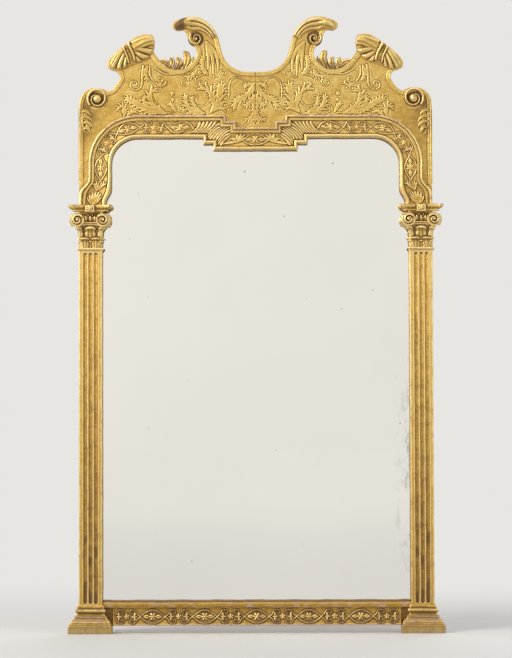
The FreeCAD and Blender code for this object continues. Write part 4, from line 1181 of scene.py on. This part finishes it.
def bared_fillet(x, y, z):
    """Losses along the outer bead of the arch, which stands highest, less on its upright runs; painted shade
    where the sight edge meets the glass, and the moulding a little darker on its feet."""
    # Painted shade on the wall that runs back to the glass; the feet are a little darker.
    darkening = 0.8 * ramp(y, FACE - 2.0, FACE + 2.0) + 0.12 * ramp(z, 1155, 1115)
    return ramp(y, FACE - 13.4, FACE - 14.4) * (0.15 + 0.45 * ramp(z, 1200, 1260)) - darkening


class PIERMIRROR_OT_arch(bpy.types.Operator):
    """Carve the arch moulding with its ovals, scrolls and stepped head"""
    bl_idname = "pier_mirror.arch"
    bl_label = "Arch Moulding"

    def execute(self, context):
        shapes, leaf = arch_shapes(), gilt("moulding")
        for run, node in (("foot", "arch_foot"), ("turn", "arch_moulding"), ("level", "top_moulding")):
            both_sides("arch_%s_carved" % run, shapes[run], leaf, [node], bared=bared_fillet)
        make_piece("arch_steps_carved", shapes["steps"] + mirrored(shapes["steps"]), leaf, ["centre_moulding"],
                   bared=bared_fillet)
        return {"FINISHED"}


def bottom_surface():
    """Carved cove of the bottom rail: a hollow that leans out to a lip, with a band of ovals and panels laid
    on it."""
    low, high = extent("bottom_moulding")
    foot, top = low[2], high[2]
    t = np.linspace(0, 1, 64)
    hollow = pack(foot + 4.6 + t * (top - foot - 4.6), 12.6 - 9.0 * np.sin(math.pi * t / 2) ** 0.9)
    z, rise = profile_of((foot + 0.2, -1.0), (foot + 0.2, 11.6), (foot + 1.0, 12.6), (foot + 3.8, 12.8), hollow).T
    x = np.linspace(low[0], high[0], 900)[:, None]
    relief = Relief(x, z)
    relief.band(low[0] + 2, high[0] - 2, foot + 22.6, 16.4, sizes().guilloche * MM, 4.4, 1)
    field = ramp(z, foot + 4.4, foot + 6.4) * ramp(z, top, top - 1.5)
    return returned(pack(x, FACE - rise - relief.height * field, z))


def fillet_surface():
    """Rounded strip along the bottom of the glass, carried on to the pilasters' bases."""
    low, high = levels("sight_fillet")
    t = np.linspace(0, math.pi, 22)
    z = np.concatenate([[low], (low + high) / 2 - (high - low) / 2 * np.cos(t), [high]])
    rise = np.concatenate([[-1.0], 4.4 + 5.2 * np.sin(t) ** 0.7, [-1.0]])
    end = PILASTER_X - HALF_SHAFT - 1.0
    return returned(pack(np.linspace(-end, end, 260)[:, None], FACE - rise, z))


def bared_lip(x, y, z):
    """Chips along the lower lip of the bottom rail."""
    low = levels("bottom_moulding")[0]
    return 0.8 * ramp(z, low + 6.0, low + 3.0)


def bared_strip(x, y, z):
    """The strip under the glass is rubbed along its front, and painted shade darkens it where it meets the glass."""
    high = levels("sight_fillet")[1]
    top = ramp(z, high - 4.4, high - 3.0)
    # The top band is painted shade: a dark line of shadow and its reflection where the strip meets the glass.
    return 0.48 * ramp(y, FACE - 5.0, FACE - 8.0) * (1 - top) - 2.2 * top


class PIERMIRROR_OT_bottom_rail(bpy.types.Operator):
    """Carve the cove and the sight strip of the bottom rail"""
    bl_idname = "pier_mirror.bottom_rail"
    bl_label = "Bottom Rail"

    def execute(self, context):
        make_piece("bottom_cove_carved", bottom_surface(), gilt("rail"), ["bottom_moulding"], bared=bared_lip)
        make_piece("sight_strip", fillet_surface(), gilt("strip"), ["sight_fillet"], waver=1.6, bared=bared_strip)
        return {"FINISHED"}


# Crest


def crest_mm(shares):
    """Points of the crest from shares of its half width and of its height above the capitals."""
    return np.asarray(shares, float) * (CREST_HALF, CREST_TOP - 0.25 - CAPITAL_TOP) + (0, CAPITAL_TOP)


BAY = [(0.0, 0.705), (0.108, 0.720), (0.167, 0.762), (0.193, 0.813), (0.209, 0.876), (0.236, 0.933)]
HEAD = [(0.236, 0.933), (0.271, 0.968), (0.344, 1.0), (0.424, 0.987), (0.470, 0.956), (0.459, 0.932), (0.410, 0.930),
        (0.390, 0.909)]
ROLL = [(0.390, 0.909), (0.374, 0.870), (0.344, 0.842)]
SCOOP = [(0.344, 0.842), (0.330, 0.808), (0.344, 0.771), (0.385, 0.731), (0.443, 0.714), (0.505, 0.731), (0.557, 0.777),
         (0.585, 0.813)]
SHOULDER = [(0.585, 0.813), (0.580, 0.867), (0.589, 0.899), (0.624, 0.907), (0.693, 0.884), (0.761, 0.838),
            (0.812, 0.794), (0.839, 0.752), (0.833, 0.728), (0.803, 0.716)]
OUTER_SCOOP = [(0.803, 0.716), (0.775, 0.700), (0.768, 0.677), (0.782, 0.648), (0.812, 0.615), (0.846, 0.602)]
CORNER = [(0.846, 0.602), (0.878, 0.617), (0.917, 0.623), (0.963, 0.606), (0.991, 0.573), (1.0, 0.531)]


def crest_outline():
    """Right half of the crest's outline, from the middle of the bay round to the foot of its outer edge."""
    bay = [(-x, z) for x, z in reversed(BAY[1:])] + BAY
    lines = [smooth_line(crest_mm(bay), 160)[80:]]
    lines += [smooth_line(crest_mm(part), 60) for part in (HEAD, ROLL, SCOOP, SHOULDER, OUTER_SCOOP, CORNER)]
    lines.append(np.linspace((CREST_HALF, lines[-1][-1, 1]), (CREST_HALF, CAPITAL_TOP + 52), 80)[1:])
    return np.concatenate([lines[0]] + [line[1:] for line in lines[1:]])


def inside(polygon, u, v):
    """Which points lie inside a polygon, by counting crossings."""
    found = np.zeros(u.shape, bool)
    for (x1, z1), (x2, z2) in zip(polygon, np.roll(polygon, -1, axis=0)):
        if z1 != z2:
            crosses = (z1 > v) != (z2 > v)
            found ^= crosses & (u < (x2 - x1) * (v - z1) / (z2 - z1) + x1)
    return found


def crest_ornament(relief, rise):
    """Right half of the crest's arabesque: a drooping palmette at the middle, a strap round it, acanthus
    sprays over the arch, scrolls under the shoulder and the scoop, and a leaf up the neck."""
    def leaf(points, width, share=1.0):
        relief.acanthus(points, width, rise * share)

    def scroll(points, centre, radius, turns, start, hand, width, height=0.85):
        coil = spiral(centre, radius, turns, start, hand)
        stem = smooth_line(points + [coil[0]], 30)
        relief.strap(np.concatenate([stem, coil[1:]]), width, rise * height, 0.35, False, 0.3)

    leaf([(0, 1346), (0, 1308), (0, 1276)], 13)
    leaf([(2, 1374), (12, 1352), (30, 1338), (48, 1326), (54, 1306)], 13)
    leaf([(2, 1344), (12, 1326), (26, 1314)], 10, 0.9)
    leaf([(4, 1372), (14, 1370), (28, 1362)], 8, 0.9)
    leaf([(2, 1296), (12, 1284), (26, 1282)], 9, 0.9)
    relief.strap([(66, 1336), (66, 1358), (61, 1379), (47, 1388), (33, 1384), (22, 1370)], 3.6, rise * 0.9, 0.4)
    leaf([(112, 1299), (98, 1316), (90, 1340), (84, 1374)], 17)
    leaf([(106, 1318), (110, 1342), (124, 1358), (144, 1359)], 14)
    leaf([(100, 1304), (86, 1310), (76, 1302)], 9, 0.9)
    scroll([(112, 1334), (124, 1318), (142, 1316), (154, 1326)], (147, 1335), 10, 0.9, -40, 1, 3.2, 0.7)
    leaf([(126, 1297), (150, 1301), (168, 1314), (176, 1344)], 13)
    leaf([(132, 1300), (146, 1308), (156, 1322), (158, 1342)], 9, 0.9)
    scroll([(160, 1296), (176, 1296), (190, 1302)], (184, 1311), 11, 0.8, -60, 1, 3.0, 0.7)
    relief.flower((208, 1347), 7.0, rise * 0.8, 5)
    relief.flower((206, 1331), 5.5, rise * 0.8, 5)
    leaf([(200, 1300), (206, 1312), (216, 1322)], 8, 0.9)
    relief.strap([(206, 1297), (232, 1304), (248, 1326)], 3.4, rise * 0.8, 0.4)
    leaf([(222, 1296), (248, 1310), (262, 1332), (262, 1350), (244, 1353)], 15)
    leaf([(244, 1297), (272, 1306), (298, 1322), (328, 1338)], 13)
    leaf([(262, 1306), (274, 1318), (280, 1338)], 9, 0.9)
    leaf([(330, 1288), (328, 1302), (332, 1314), (346, 1306)], 10, 0.9)
    leaf([(322, 1290), (308, 1300), (296, 1300)], 8, 0.8)
    scroll([(280, 1418), (283, 1394), (284, 1372)], (302, 1370), 17.5, 1.15, 185, 1, 5.6, 0.9)
    leaf([(270, 1418), (274, 1400), (268, 1378)], 9, 0.9)
    scroll([(264, 1414), (264, 1396), (256, 1380)], (240, 1383), 14, 0.8, -30, -1, 5.0, 0.9)
    leaf([(250, 1374), (236, 1368), (222, 1376)], 7, 0.8)
    scroll([(252, 1412), (226, 1397), (200, 1396), (182, 1396)], (178, 1375), 14.5, 1.1, 100, 1, 4.0, 0.8)
    leaf([(216, 1396), (198, 1402), (178, 1404)], 8, 0.9)
    leaf([(146, 1408), (156, 1394), (172, 1388)], 9, 0.9)
    scroll([(118, 1398), (138, 1392), (150, 1382)], (140, 1376), 9.5, 0.9, 20, -1, 3.4, 0.8)
    for tip, bend in (((93, 1398), (97, 1442)), ((105, 1388), (108, 1440)), ((118, 1402), (118, 1442))):
        relief.blade([(123, 1478), bend, tip], 4.6, rise, 0.6)
    leaf([(118, 1394), (128, 1406), (132, 1424), (130, 1444)], 10, 0.9)
    scroll([(104, 1388), (92, 1394), (84, 1404)], (79, 1397), 8, 0.9, 55, 1, 3.0, 0.7)
    leaf([(424, 1304), (424, 1284), (414, 1262)], 9)


def crest_field():
    """Right half of the crest's front: gesso relief and a flat raised margin along the outline, on a grid
    that is cut off under the edge bead and under the arch moulding. A shallow trench is cut round each
    ornament."""
    outline, pitch = crest_outline(), 1.2
    u, v = np.meshgrid(np.arange(0, CREST_HALF + 1, pitch),
                       np.arange(CAPITAL_TOP + 50, CREST_TOP, pitch), indexing="ij")
    foot, turn, level, stepped = arch_runs()
    inner = np.concatenate([foot.outer[-60:]] + [run.outer for run in [turn, level] + stepped])
    region = np.concatenate([outline, inner[:1] + (0, -8), inner])
    within, under = inside(region, u, v), np.zeros(u.shape, bool)
    for right, up in ((4, 0), (-4, 0), (0, 4), (0, -4)):
        under |= inside(region, u + right, v + up)
    relief, rim = Relief(u, v), Relief(u, v)
    crest_ornament(relief, sizes().relief * MM)
    grown = relief.height > 0.15
    near = grown * 1.0
    for axis in (0, 1) * 2:
        near = (near + np.roll(near, 1, axis) + np.roll(near, -1, axis)) / 3
    carved = relief.height - np.where(grown, 0, near) * 2.6

    def margin(gap, share):
        flat = ramp(gap, 10.5, 9.6)
        return 1.4 * flat ** 2 * (3 - 2 * flat)

    for part in np.array_split(outline, 12):
        rim.lay(part, 12.0, margin)
    height = np.where(within | under, np.where(rim.height < 0.05, carved, rim.height), 0)
    keep = cell_corners(within | (under & (v < CAPITAL_TOP + 240))).all(0)
    return [(pack(u, FACE - 1.9 - height, v), keep)]


def edge_bead():
    """Bead along the crest's outline: a small half-round that laps over the board's front edge. Its section
    is carried along the outline with the outline's own normal."""
    path = crest_outline()
    step = unit(np.gradient(path, axis=0))
    normal = pack(step[:, 1], -step[:, 0])
    for _ in range(3):
        normal[1:-1] = (normal[:-2] + 2 * normal[1:-1] + normal[2:]) / 4
    inset, rise = np.array([(-0.15, -4.0), (-0.15, 0.6), (0.35, 2.0), (1.3, 3.2), (2.6, 3.7), (3.9, 3.3), (4.8, 2.2),
                            (5.2, 0.6), (5.2, -0.6)]).T
    flat = path[:, None] + unit(normal)[:, None] * inset[None, :, None]
    return [pack(flat[..., 0], FACE - rise, flat[..., 1])]


def roll(node, larger, *coil):
    """A coiled scroll on the crest's face, over the round block of a joinery node."""
    low, high = extent(node)
    middle = (low + high) / 2
    return coil_face(middle[[0, 2]], (high[0] - low[0]) / 2 + larger, FACE, FACE + 0.5, FACE - low[1] - 0.4, *coil)


def corner_roll():
    """Right-hand scroll on the crest's outer corner, which comes up the edge and coils in over the top."""
    return roll("right_corner_volute", 0.0, 7.6, 1.50, -40, 1.0, 2.0, 0.44, 2.4)


def scroll_roll():
    """Right-hand small scroll below the curling head."""
    return roll("right_scroll_volute", 3.6, 6.6, 1.55, 40, -1.0, 2.0, 0.24)


def head_leaf():
    """Right-hand leaf over the curling head: bands wrap the roll from the neck, and the leaf flips over the
    top into a thick tongue. Each band is a rounded ridge at its own distance from the roll; two veins run out
    along the tongue."""
    lower = [(112, 1484), (121, 1494), (133, 1502), (147, 1505), (160, 1504), (170, 1508), (184, 1508), (198, 1508)]
    upper = [(93, 1489), (103, 1509), (119, 1526), (136, 1536), (152, 1540.5), (172, 1539.5), (192, 1531), (204, 1515)]

    def carve(relief, t, c):
        band = np.abs(np.sin(math.pi * (3.0 * c + 0.08))) ** 0.55
        tongue = np.clip((t - 0.60) / 0.14, 0, 1)
        vein = 0.80 + 0.20 * np.abs(np.cos(math.pi * (1.5 * c + 0.2 * t)))
        dome = np.sin(math.pi * np.clip(0.10 + 0.84 * c, 0, 1)) ** 0.6
        wrap = (7.0 + 8.5 * c ** 0.7) * (0.68 + 0.32 * band)
        relief.height = wrap * (1 - tongue) + tongue * (4.0 + 14.5 * dome) * vein
        relief.height = np.minimum(relief.height + 2.0 * np.exp(-((t - 0.62) / 0.07) ** 2) * c, 19.4)

    return draped(lower, upper, carve, 150, 64)


def soiled_tip(x, y, z):
    """The drooping tip of the left head's leaf has darkened."""
    return -ramp(x, 168, 190)


def soiled_corner(x, y, z):
    """The leaf has deepened towards the crest's outer corners."""
    near_edge = np.exp(-((x - 432) / 26) ** 2 - ((z - 1290) / 60) ** 2)
    around = np.exp(-((x - 405) / 50) ** 2 - ((z - 1290) / 60) ** 2)
    return -0.28 * near_edge - 0.12 * around


def soiled_lobes(x, y, z):
    """Grime on the hanging leaf, most between its lobes."""
    return -0.22 - 0.75 * ramp(y, FACE - 5.0, FACE - 1.8)


def bared_coil(x, y, z):
    """Grime in the well of a corner scroll, most on its inner side; losses on its eye and on its crown."""
    low, high = extent("right_corner_volute")
    middle = (low + high) / 2
    r = np.hypot(x - middle[0], z - middle[2])
    inward = np.clip(0.55 + 0.5 * (middle[0] - x + 0.4 * (z - middle[2])) / np.maximum(r, 1.0), 0.2, 1)
    well = ramp(y, FACE - 8.0, FACE - 3.0) * np.clip((23.0 - r) / 4.0, 0.15, 1) * inward
    return np.clip(0.6 * np.exp(-(r / 9) ** 2) + 0.5 * ramp(z, 1344, 1358) - 1.3 * well, -1, 1)


def soiled_well(x, y, z):
    """Grime in the well of a small scroll."""
    return -0.6 * ramp(y, FACE - 9.0, FACE - 3.0)


def soiled_roots(x, y, z):
    """Grime at the roots of a spray's leaves."""
    return -0.5 * ramp(z, 1434, 1410)


def shoulder_leaf_cap():
    """Right-hand leaf draped over the shoulder: a round fold at the upper end with lengthwise veins, two
    bright ribs across the middle, and lobes that fan down to the lower end with deep pockets between them."""
    lower = [(251.5, 1477), (253, 1462), (260, 1447), (270, 1435), (284, 1427), (300, 1421), (316, 1415), (332, 1408),
             (348, 1407), (362, 1411)]
    upper = [(254, 1486), (262, 1491.5), (274, 1492.5), (290, 1489), (306, 1483), (322, 1474), (338, 1461), (352, 1446),
             (362, 1430), (366.5, 1418)]

    def carve(relief, t, c):
        relief.height = 4.0 + 6.0 * np.sin(math.pi * c) ** 0.7 + 0 * t
        strap, lobe = relief.strap, relief.lobe
        lobe([(251, 1480), (268, 1479), (287, 1471), (303, 1462)], 14.5, 19.5, 3.0)
        lobe([(270, 1490), (288, 1484), (306, 1476)], 7.0, 17.0)
        lobe([(303, 1462), (280, 1456), (262, 1452)], 8.5, 15.0)
        lobe([(300, 1450), (284, 1441), (272, 1437)], 8.0, 14.0)
        lobe([(302, 1442), (294, 1432), (288, 1426)], 7.0, 13.0)
        strap([(321, 1477), (313, 1460), (305, 1443), (302, 1430)], 11.0, 21.5, 0.25)
        strap([(333, 1467), (326, 1452), (320, 1438), (317, 1424)], 8.5, 19.0, 0.3)
        lobe([(335, 1463), (350, 1446), (361, 1428), (366, 1418)], 9.0, 17.0)
        lobe([(332, 1456), (343, 1440), (352, 1424), (358, 1412)], 8.0, 15.5)
        lobe([(328, 1446), (335, 1432), (340, 1418), (342, 1408)], 7.0, 14.5)
        lobe([(322, 1440), (325, 1428), (327, 1416)], 5.5, 13.0)
        relief.height = np.minimum(relief.height, 22.0)

    return draped(lower, upper, carve, 170, 90, 3.5)


def hanging_leaf():
    """Right-hand acanthus drop under the corner roll: broad lobes that arch over and hang from a stem along
    the edge, on a small grid of their own."""
    relief = Relief(np.linspace(390, 439, 90)[:, None], np.linspace(1236, 1316, 150))
    relief.blade([(431, 1308), (434, 1286), (431, 1260), (422, 1240)], 3.6, 5.0)
    for edge, top, length in ((434, 1295, 22), (434, 1281, 27), (432, 1267, 26), (429, 1253, 16)):
        relief.blade([(edge, top + 6), (edge - 0.34 * length, top + 9), (edge - 0.74 * length, top + 3),
                      (edge - length, top - 7)], 4.9, 6.6)
    grown = relief.height > 0.05
    height = np.where(grown, relief.height + 0.6, -0.6)
    return [(pack(relief.u, FACE - height, relief.v), cell_corners(grown).any(0))]


def spray_leaf(path, width, lean):
    """One free leaf of a spray: its front and back are strips along a rib, broad with a round end, bulging
    forward and hollowed along the rib, with side lobes, rolling forward at the tip, and joined at the
    margins."""
    rib, thick = smooth_line(path, 60), 3.0
    step = unit(np.gradient(rib, axis=0))
    t, c = np.linspace(0, 1, 60)[:, None], np.linspace(-1, 1, 27)[None, :]
    outline = dome(ramp(t, 0.72, 1.0))
    lobes = 0.84 + 0.16 * np.abs(np.sin(math.pi * (3.2 * t - 0.25 * np.abs(c))))
    half = width * (0.62 + 0.38 * hump(0.15 + 0.75 * t)) * outline * lobes
    flat = rib[:, None] + pack(-step[:, 1], step[:, 0])[:, None] * (half * c)[..., None]
    front = -36.0 - lean * t ** 2 - 2.8 * (1 - c ** 2) + 1.7 * np.exp(-(c / 0.20) ** 2)
    front = front - 0.8 * np.cos(math.pi * 3.2 * t) * np.abs(c)
    back = front + thick * (1 - np.abs(c) ** 4) * outline
    face, rear = [pack(flat[..., 0], depth, flat[..., 1]) for depth in (front, back)]
    return [face, rear[:, ::-1]]


def scoop_spray():
    """Right-hand spray that stands in the scoop: a crescent leaf along its bottom, three leaves that curl up
    to round tips, a low one that lies outwards, and a thin horn."""
    leaves = (
        ([(157, 1434), (163, 1419), (178, 1409), (198, 1406), (222, 1411), (245, 1427)], 6.0, 2.0),
        ([(184, 1404), (174, 1424), (171, 1442), (180, 1456)], 10.5, 4.0),
        ([(203, 1404), (194, 1418), (191, 1431), (198, 1440)], 8.0, 4.0),
        ([(220, 1407), (211, 1419), (208, 1431), (215, 1439)], 7.6, 3.5),
        ([(206, 1410), (216, 1421), (228, 1429), (240, 1432)], 7.4, 3.0),
        ([(174, 1408), (162, 1419), (157, 1431), (156, 1443)], 3.6, 3.0),
    )
    return [sheet for leaf in leaves for sheet in spray_leaf(*leaf)]


class PIERMIRROR_OT_crest(bpy.types.Operator):
    """Lay the gesso relief and the edge bead on the crest board"""
    bl_idname = "pier_mirror.crest"
    bl_label = "Crest Relief"

    def execute(self, context):
        leaf = gilt("crest")
        both_sides("crest_relief", crest_field(), leaf, sharp=70, reach=1.9, bared=soiled_corner)
        both_sides("crest_bead", edge_bead(), leaf, sharp=60)
        dress(finish("crest_board_gilding", washed, 0.15, 1.15, 1.0, 0.12, -0.041, True), "crest_board")
        return {"FINISHED"}


class PIERMIRROR_OT_crest_carving(bpy.types.Operator):
    """Carve the rolls, leaf caps and leaves of the crest"""
    bl_idname = "pier_mirror.crest_carving"
    bl_label = "Crest Carving"

    def execute(self, context):
        leaf, head = gilt("crest_carving"), head_leaf()
        both_sides("corner_roll", corner_roll(), leaf, ["corner_volute"], sharp=70, bared=bared_coil)
        both_sides("scroll_roll", scroll_roll(), leaf, ["scroll_volute"], sharp=70, bared=soiled_well)
        make_piece("right_head_leaf", head, leaf, ["right_scroll_leaf"], sharp=60)
        make_piece("left_head_leaf", mirrored(head), leaf, ["left_scroll_leaf"], sharp=60, bared=soiled_tip)
        both_sides("shoulder_leaf_cap", shoulder_leaf_cap(), leaf, ["shoulder_cap"], sharp=70)
        both_sides("hanging_leaf", hanging_leaf(), gilt("crest"), ["corner_leaf"], sharp=70, bared=soiled_lobes)
        both_sides("scoop_spray", scoop_spray(), leaf, ["leaf_spray"], sharp=60, bared=soiled_roots, lift=0.75)
        return {"FINISHED"}


# Glass, back and hangers


class PIERMIRROR_OT_glass_and_back(bpy.types.Operator):
    """Finish the mirror plate, the carcass, the boarded back and the hangers"""
    bl_idname = "pier_mirror.glass_and_back"
    bl_label = "Glass and Back"

    def execute(self, context):
        dress(finish("old_silvering", old_silvering), "mirror_plate")
        dress(finish("stile_gilding", washed, 0.2, 1.3, 0.75, 0.0, -0.036), "left_stile", "right_stile")
        dress(finish("bottom_rail_gilding", washed, 0.2, 1.3, 0.75, 0.0, -0.036, True), "bottom_rail")
        dress(finish("old_pine", old_pine, 1.0), "backboard_1", "backboard_3", "plate_blocks")
        dress(finish("rail_pine", old_pine, 0.95, True), "top_rail")
        dress(finish("old_pine_pale", old_pine, 1.18), "backboard_2", "left_crest_cleat", "right_crest_cleat")
        dress(finish("batten_pine", old_pine, 0.8, True), "lower_batten", "middle_batten", "upper_batten")
        dress(finish("dull_brass", old_metal, colours().brass, 1.0, 0.34), "left_hanger_strap", "right_hanger_strap",
              "left_hanger_ring", "right_hanger_ring", "hanger_screws")
        dress(finish("dark_iron", old_metal, colours().iron, 0.8, 0.5),
              "backboard_nails", "batten_screws", "crest_screws")
        return {"FINISHED"}


# Stage


def studio_world():
    """Pale even light. The camera sees the plain backdrop colour; metal and glass see it brighter overhead
    and to the left and darker towards the ground and to the right."""
    world = bpy.data.worlds.new("studio")
    world.use_nodes = True
    bpy.context.scene.world = world
    web = Web(world.node_tree)
    nodes, links, shader = world.node_tree.nodes, world.node_tree.links, world.node_tree.nodes["Background"]
    path = nodes.new("ShaderNodeLightPath")
    seen = web.most(path.outputs["Is Glossy Ray"], path.outputs["Is Transmission Ray"])
    split = nodes.new("ShaderNodeSeparateXYZ")
    links.new(nodes.new("ShaderNodeTexCoord").outputs["Generated"], split.inputs[0])
    up, across = split.outputs[2], split.outputs[0]
    height = web.add(web.line(up, -0.1, 0.12, 0.84, 0.895), web.line(up, 0.12, 0.75, 0.0, 0.60))
    level = web.times(height, web.line(across, -0.8, 0.8, 1.22, 0.78))
    light = web.mix(path.outputs["Is Camera Ray"], (0.94, 0.96, 1.0, 1.0), rgba(colours().studio))
    web.put(shader.inputs["Color"], web.mix(seen, light, (1.0, 0.985, 0.945, 1.0)))
    plain = web.span(path.outputs["Is Camera Ray"], 0.0, 1.0, 0.42, 1.0)
    blend = nodes.new("ShaderNodeMix")
    web.put(blend.inputs[0], seen)
    web.put(blend.inputs[2], plain)
    web.put(blend.inputs[3], level)
    web.put(shader.inputs["Strength"], blend.outputs[0])


def studio_floor():
    """A wide pale floor under the plinths that keeps the object's shadow. Far off, the camera sees it in the
    backdrop colour; metal and glass see it as a pale ground with a painted shadow under the object."""
    size, z = 60.0, FLOOR
    mesh = bpy.data.meshes.new("floor")
    mesh.from_pydata([(-size, -size, z), (size, -size, z), (size, size, z), (-size, size, z)], [], [(0, 1, 2, 3)])
    floor = bpy.data.objects.new("floor", mesh)
    bpy.context.scene.collection.objects.link(floor)
    material, web, shader = plain_material("studio_floor")
    tree = web.tree
    shader.inputs["Base Color"].default_value = rgba(colours().studio)
    shader.inputs["Roughness"].default_value = 0.9
    shader.inputs["Specular IOR Level"].default_value = 0.1
    path = tree.nodes.new("ShaderNodeLightPath")
    far = tree.nodes.new("ShaderNodeVectorMath")
    far.operation = "LENGTH"
    flat = tree.nodes.new("ShaderNodeMapping")
    flat.inputs["Scale"].default_value = (1, 1, 0)
    tree.links.new(web.place(), flat.inputs[0])
    tree.links.new(flat.outputs[0], far.inputs[0])
    away = far.outputs["Value"]
    seen = web.most(path.outputs["Is Glossy Ray"], path.outputs["Is Transmission Ray"])
    share = web.most(seen, web.times(path.outputs["Is Camera Ray"], web.span(away, 0.7, 2.6)))
    glow = tree.nodes.new("ShaderNodeEmission")
    # Painted shadow: the ground that metal and glass see is dark near the object.
    near = web.mix(web.span(away, 0.0, 1.1), (0.34, 0.29, 0.21, 1.0), (0.77, 0.755, 0.73, 1.0))
    ground = web.mix(web.span(away, 1.1, 12.0), near, (0.865, 0.852, 0.817, 1.0))
    web.put(glow.inputs[0], web.mix(seen, rgba(colours().studio), ground))
    blend = tree.nodes.new("ShaderNodeMixShader")
    web.put(blend.inputs[0], share)
    tree.links.new(shader.outputs[0], blend.inputs[1])
    tree.links.new(glow.outputs[0], blend.inputs[2])
    tree.links.new(blend.outputs[0], tree.nodes["Material Output"].inputs[0])
    mesh.materials.append(material)


def area_light(name, place, target, width, height, power, colour, seen=False):
    """A soft box aimed at a point, seen in metal and glass if asked."""
    lamp = bpy.data.lights.new(name, "AREA")
    lamp.shape, lamp.size, lamp.size_y, lamp.energy, lamp.color = "RECTANGLE", width, height, power, colour
    holder = bpy.data.objects.new(name, lamp)
    holder.location = place
    holder.rotation_euler = (Vector(target) - Vector(place)).to_track_quat("-Z", "Y").to_euler()
    holder.visible_camera, holder.visible_glossy = False, seen
    bpy.context.scene.collection.objects.link(holder)


def photo_camera():
    """Camera in front of the glass with a long lens, low down, tilted up and turned a trace about its
    axis."""
    camera = bpy.data.cameras.new("photo_camera")
    holder = bpy.data.objects.new("photo_camera", camera)
    size = sizes()
    holder.location = (0.0, -size.camera_distance, FLOOR + size.camera_height)
    tilt = Matrix.Rotation(math.pi / 2 + size.camera_tilt, 4, "X")
    holder.rotation_euler = (tilt @ Matrix.Rotation(-size.camera_roll, 4, "Z")).to_euler()
    camera.sensor_fit = "VERTICAL"
    camera.sensor_height = 24.0
    camera.lens = size.camera_lens
    camera.clip_end = 200.0
    bpy.context.scene.collection.objects.link(holder)
    bpy.context.scene.camera = holder


class PIERMIRROR_OT_stage(bpy.types.Operator):
    """Set up the pale floor, the soft light and the camera"""
    bl_idname = "pier_mirror.stage"
    bl_label = "Stage"

    def execute(self, context):
        studio_world()
        studio_floor()
        area_light("key", (-3.0, -2.4, 1.9), (0, 0, 0.3), 2.2, 2.2, 110.0, (1.0, 0.965, 0.91), True)
        area_light("fill", (2.4, -2.6, 0.7), (0, 0, 0.0), 2.0, 2.0, 30.0, (0.95, 0.97, 1.0))
        area_light("back", (0.5, 3.0, 2.0), (0, 0, 0.1), 2.5, 2.5, 55.0, (1.0, 1.0, 1.0))
        photo_camera()
        settings = context.scene.view_settings
        settings.view_transform = "Standard"
        return {"FINISHED"}


class PIERMIRROR_PT_panel(bpy.types.Panel):
    """Lists the pieces of the mirror with their sizes and colours"""
    bl_idname = "PIERMIRROR_PT_panel"
    bl_label = "Pier Mirror"
    bl_space_type = "VIEW_3D"
    bl_region_type = "UI"
    bl_category = "Pier Mirror"

    def draw(self, context):
        for operator in OPERATORS:
            self.layout.operator(operator.bl_idname)
        for group in (sizes(), colours()):
            for name in group.__annotations__:
                self.layout.prop(group, name)


OPERATORS = (PIERMIRROR_OT_stage, PIERMIRROR_OT_glass_and_back, PIERMIRROR_OT_pilasters, PIERMIRROR_OT_capitals,
             PIERMIRROR_OT_arch, PIERMIRROR_OT_bottom_rail, PIERMIRROR_OT_crest, PIERMIRROR_OT_crest_carving)
CLASSES = (MirrorSizes, MirrorColours) + OPERATORS + (PIERMIRROR_PT_panel,)


def register():
    for item in CLASSES:
        bpy.utils.register_class(item)
    bpy.types.Scene.pier_mirror_sizes = PointerProperty(type=MirrorSizes)
    bpy.types.Scene.pier_mirror_colours = PointerProperty(type=MirrorColours)


def unregister():
    del bpy.types.Scene.pier_mirror_colours
    del bpy.types.Scene.pier_mirror_sizes
    for item in reversed(CLASSES):
        bpy.utils.unregister_class(item)


def main():
    register()
    for operator in OPERATORS:
        getattr(bpy.ops.pier_mirror, operator.bl_idname.split(".")[1])()


if __name__ == "__main__":
    main()
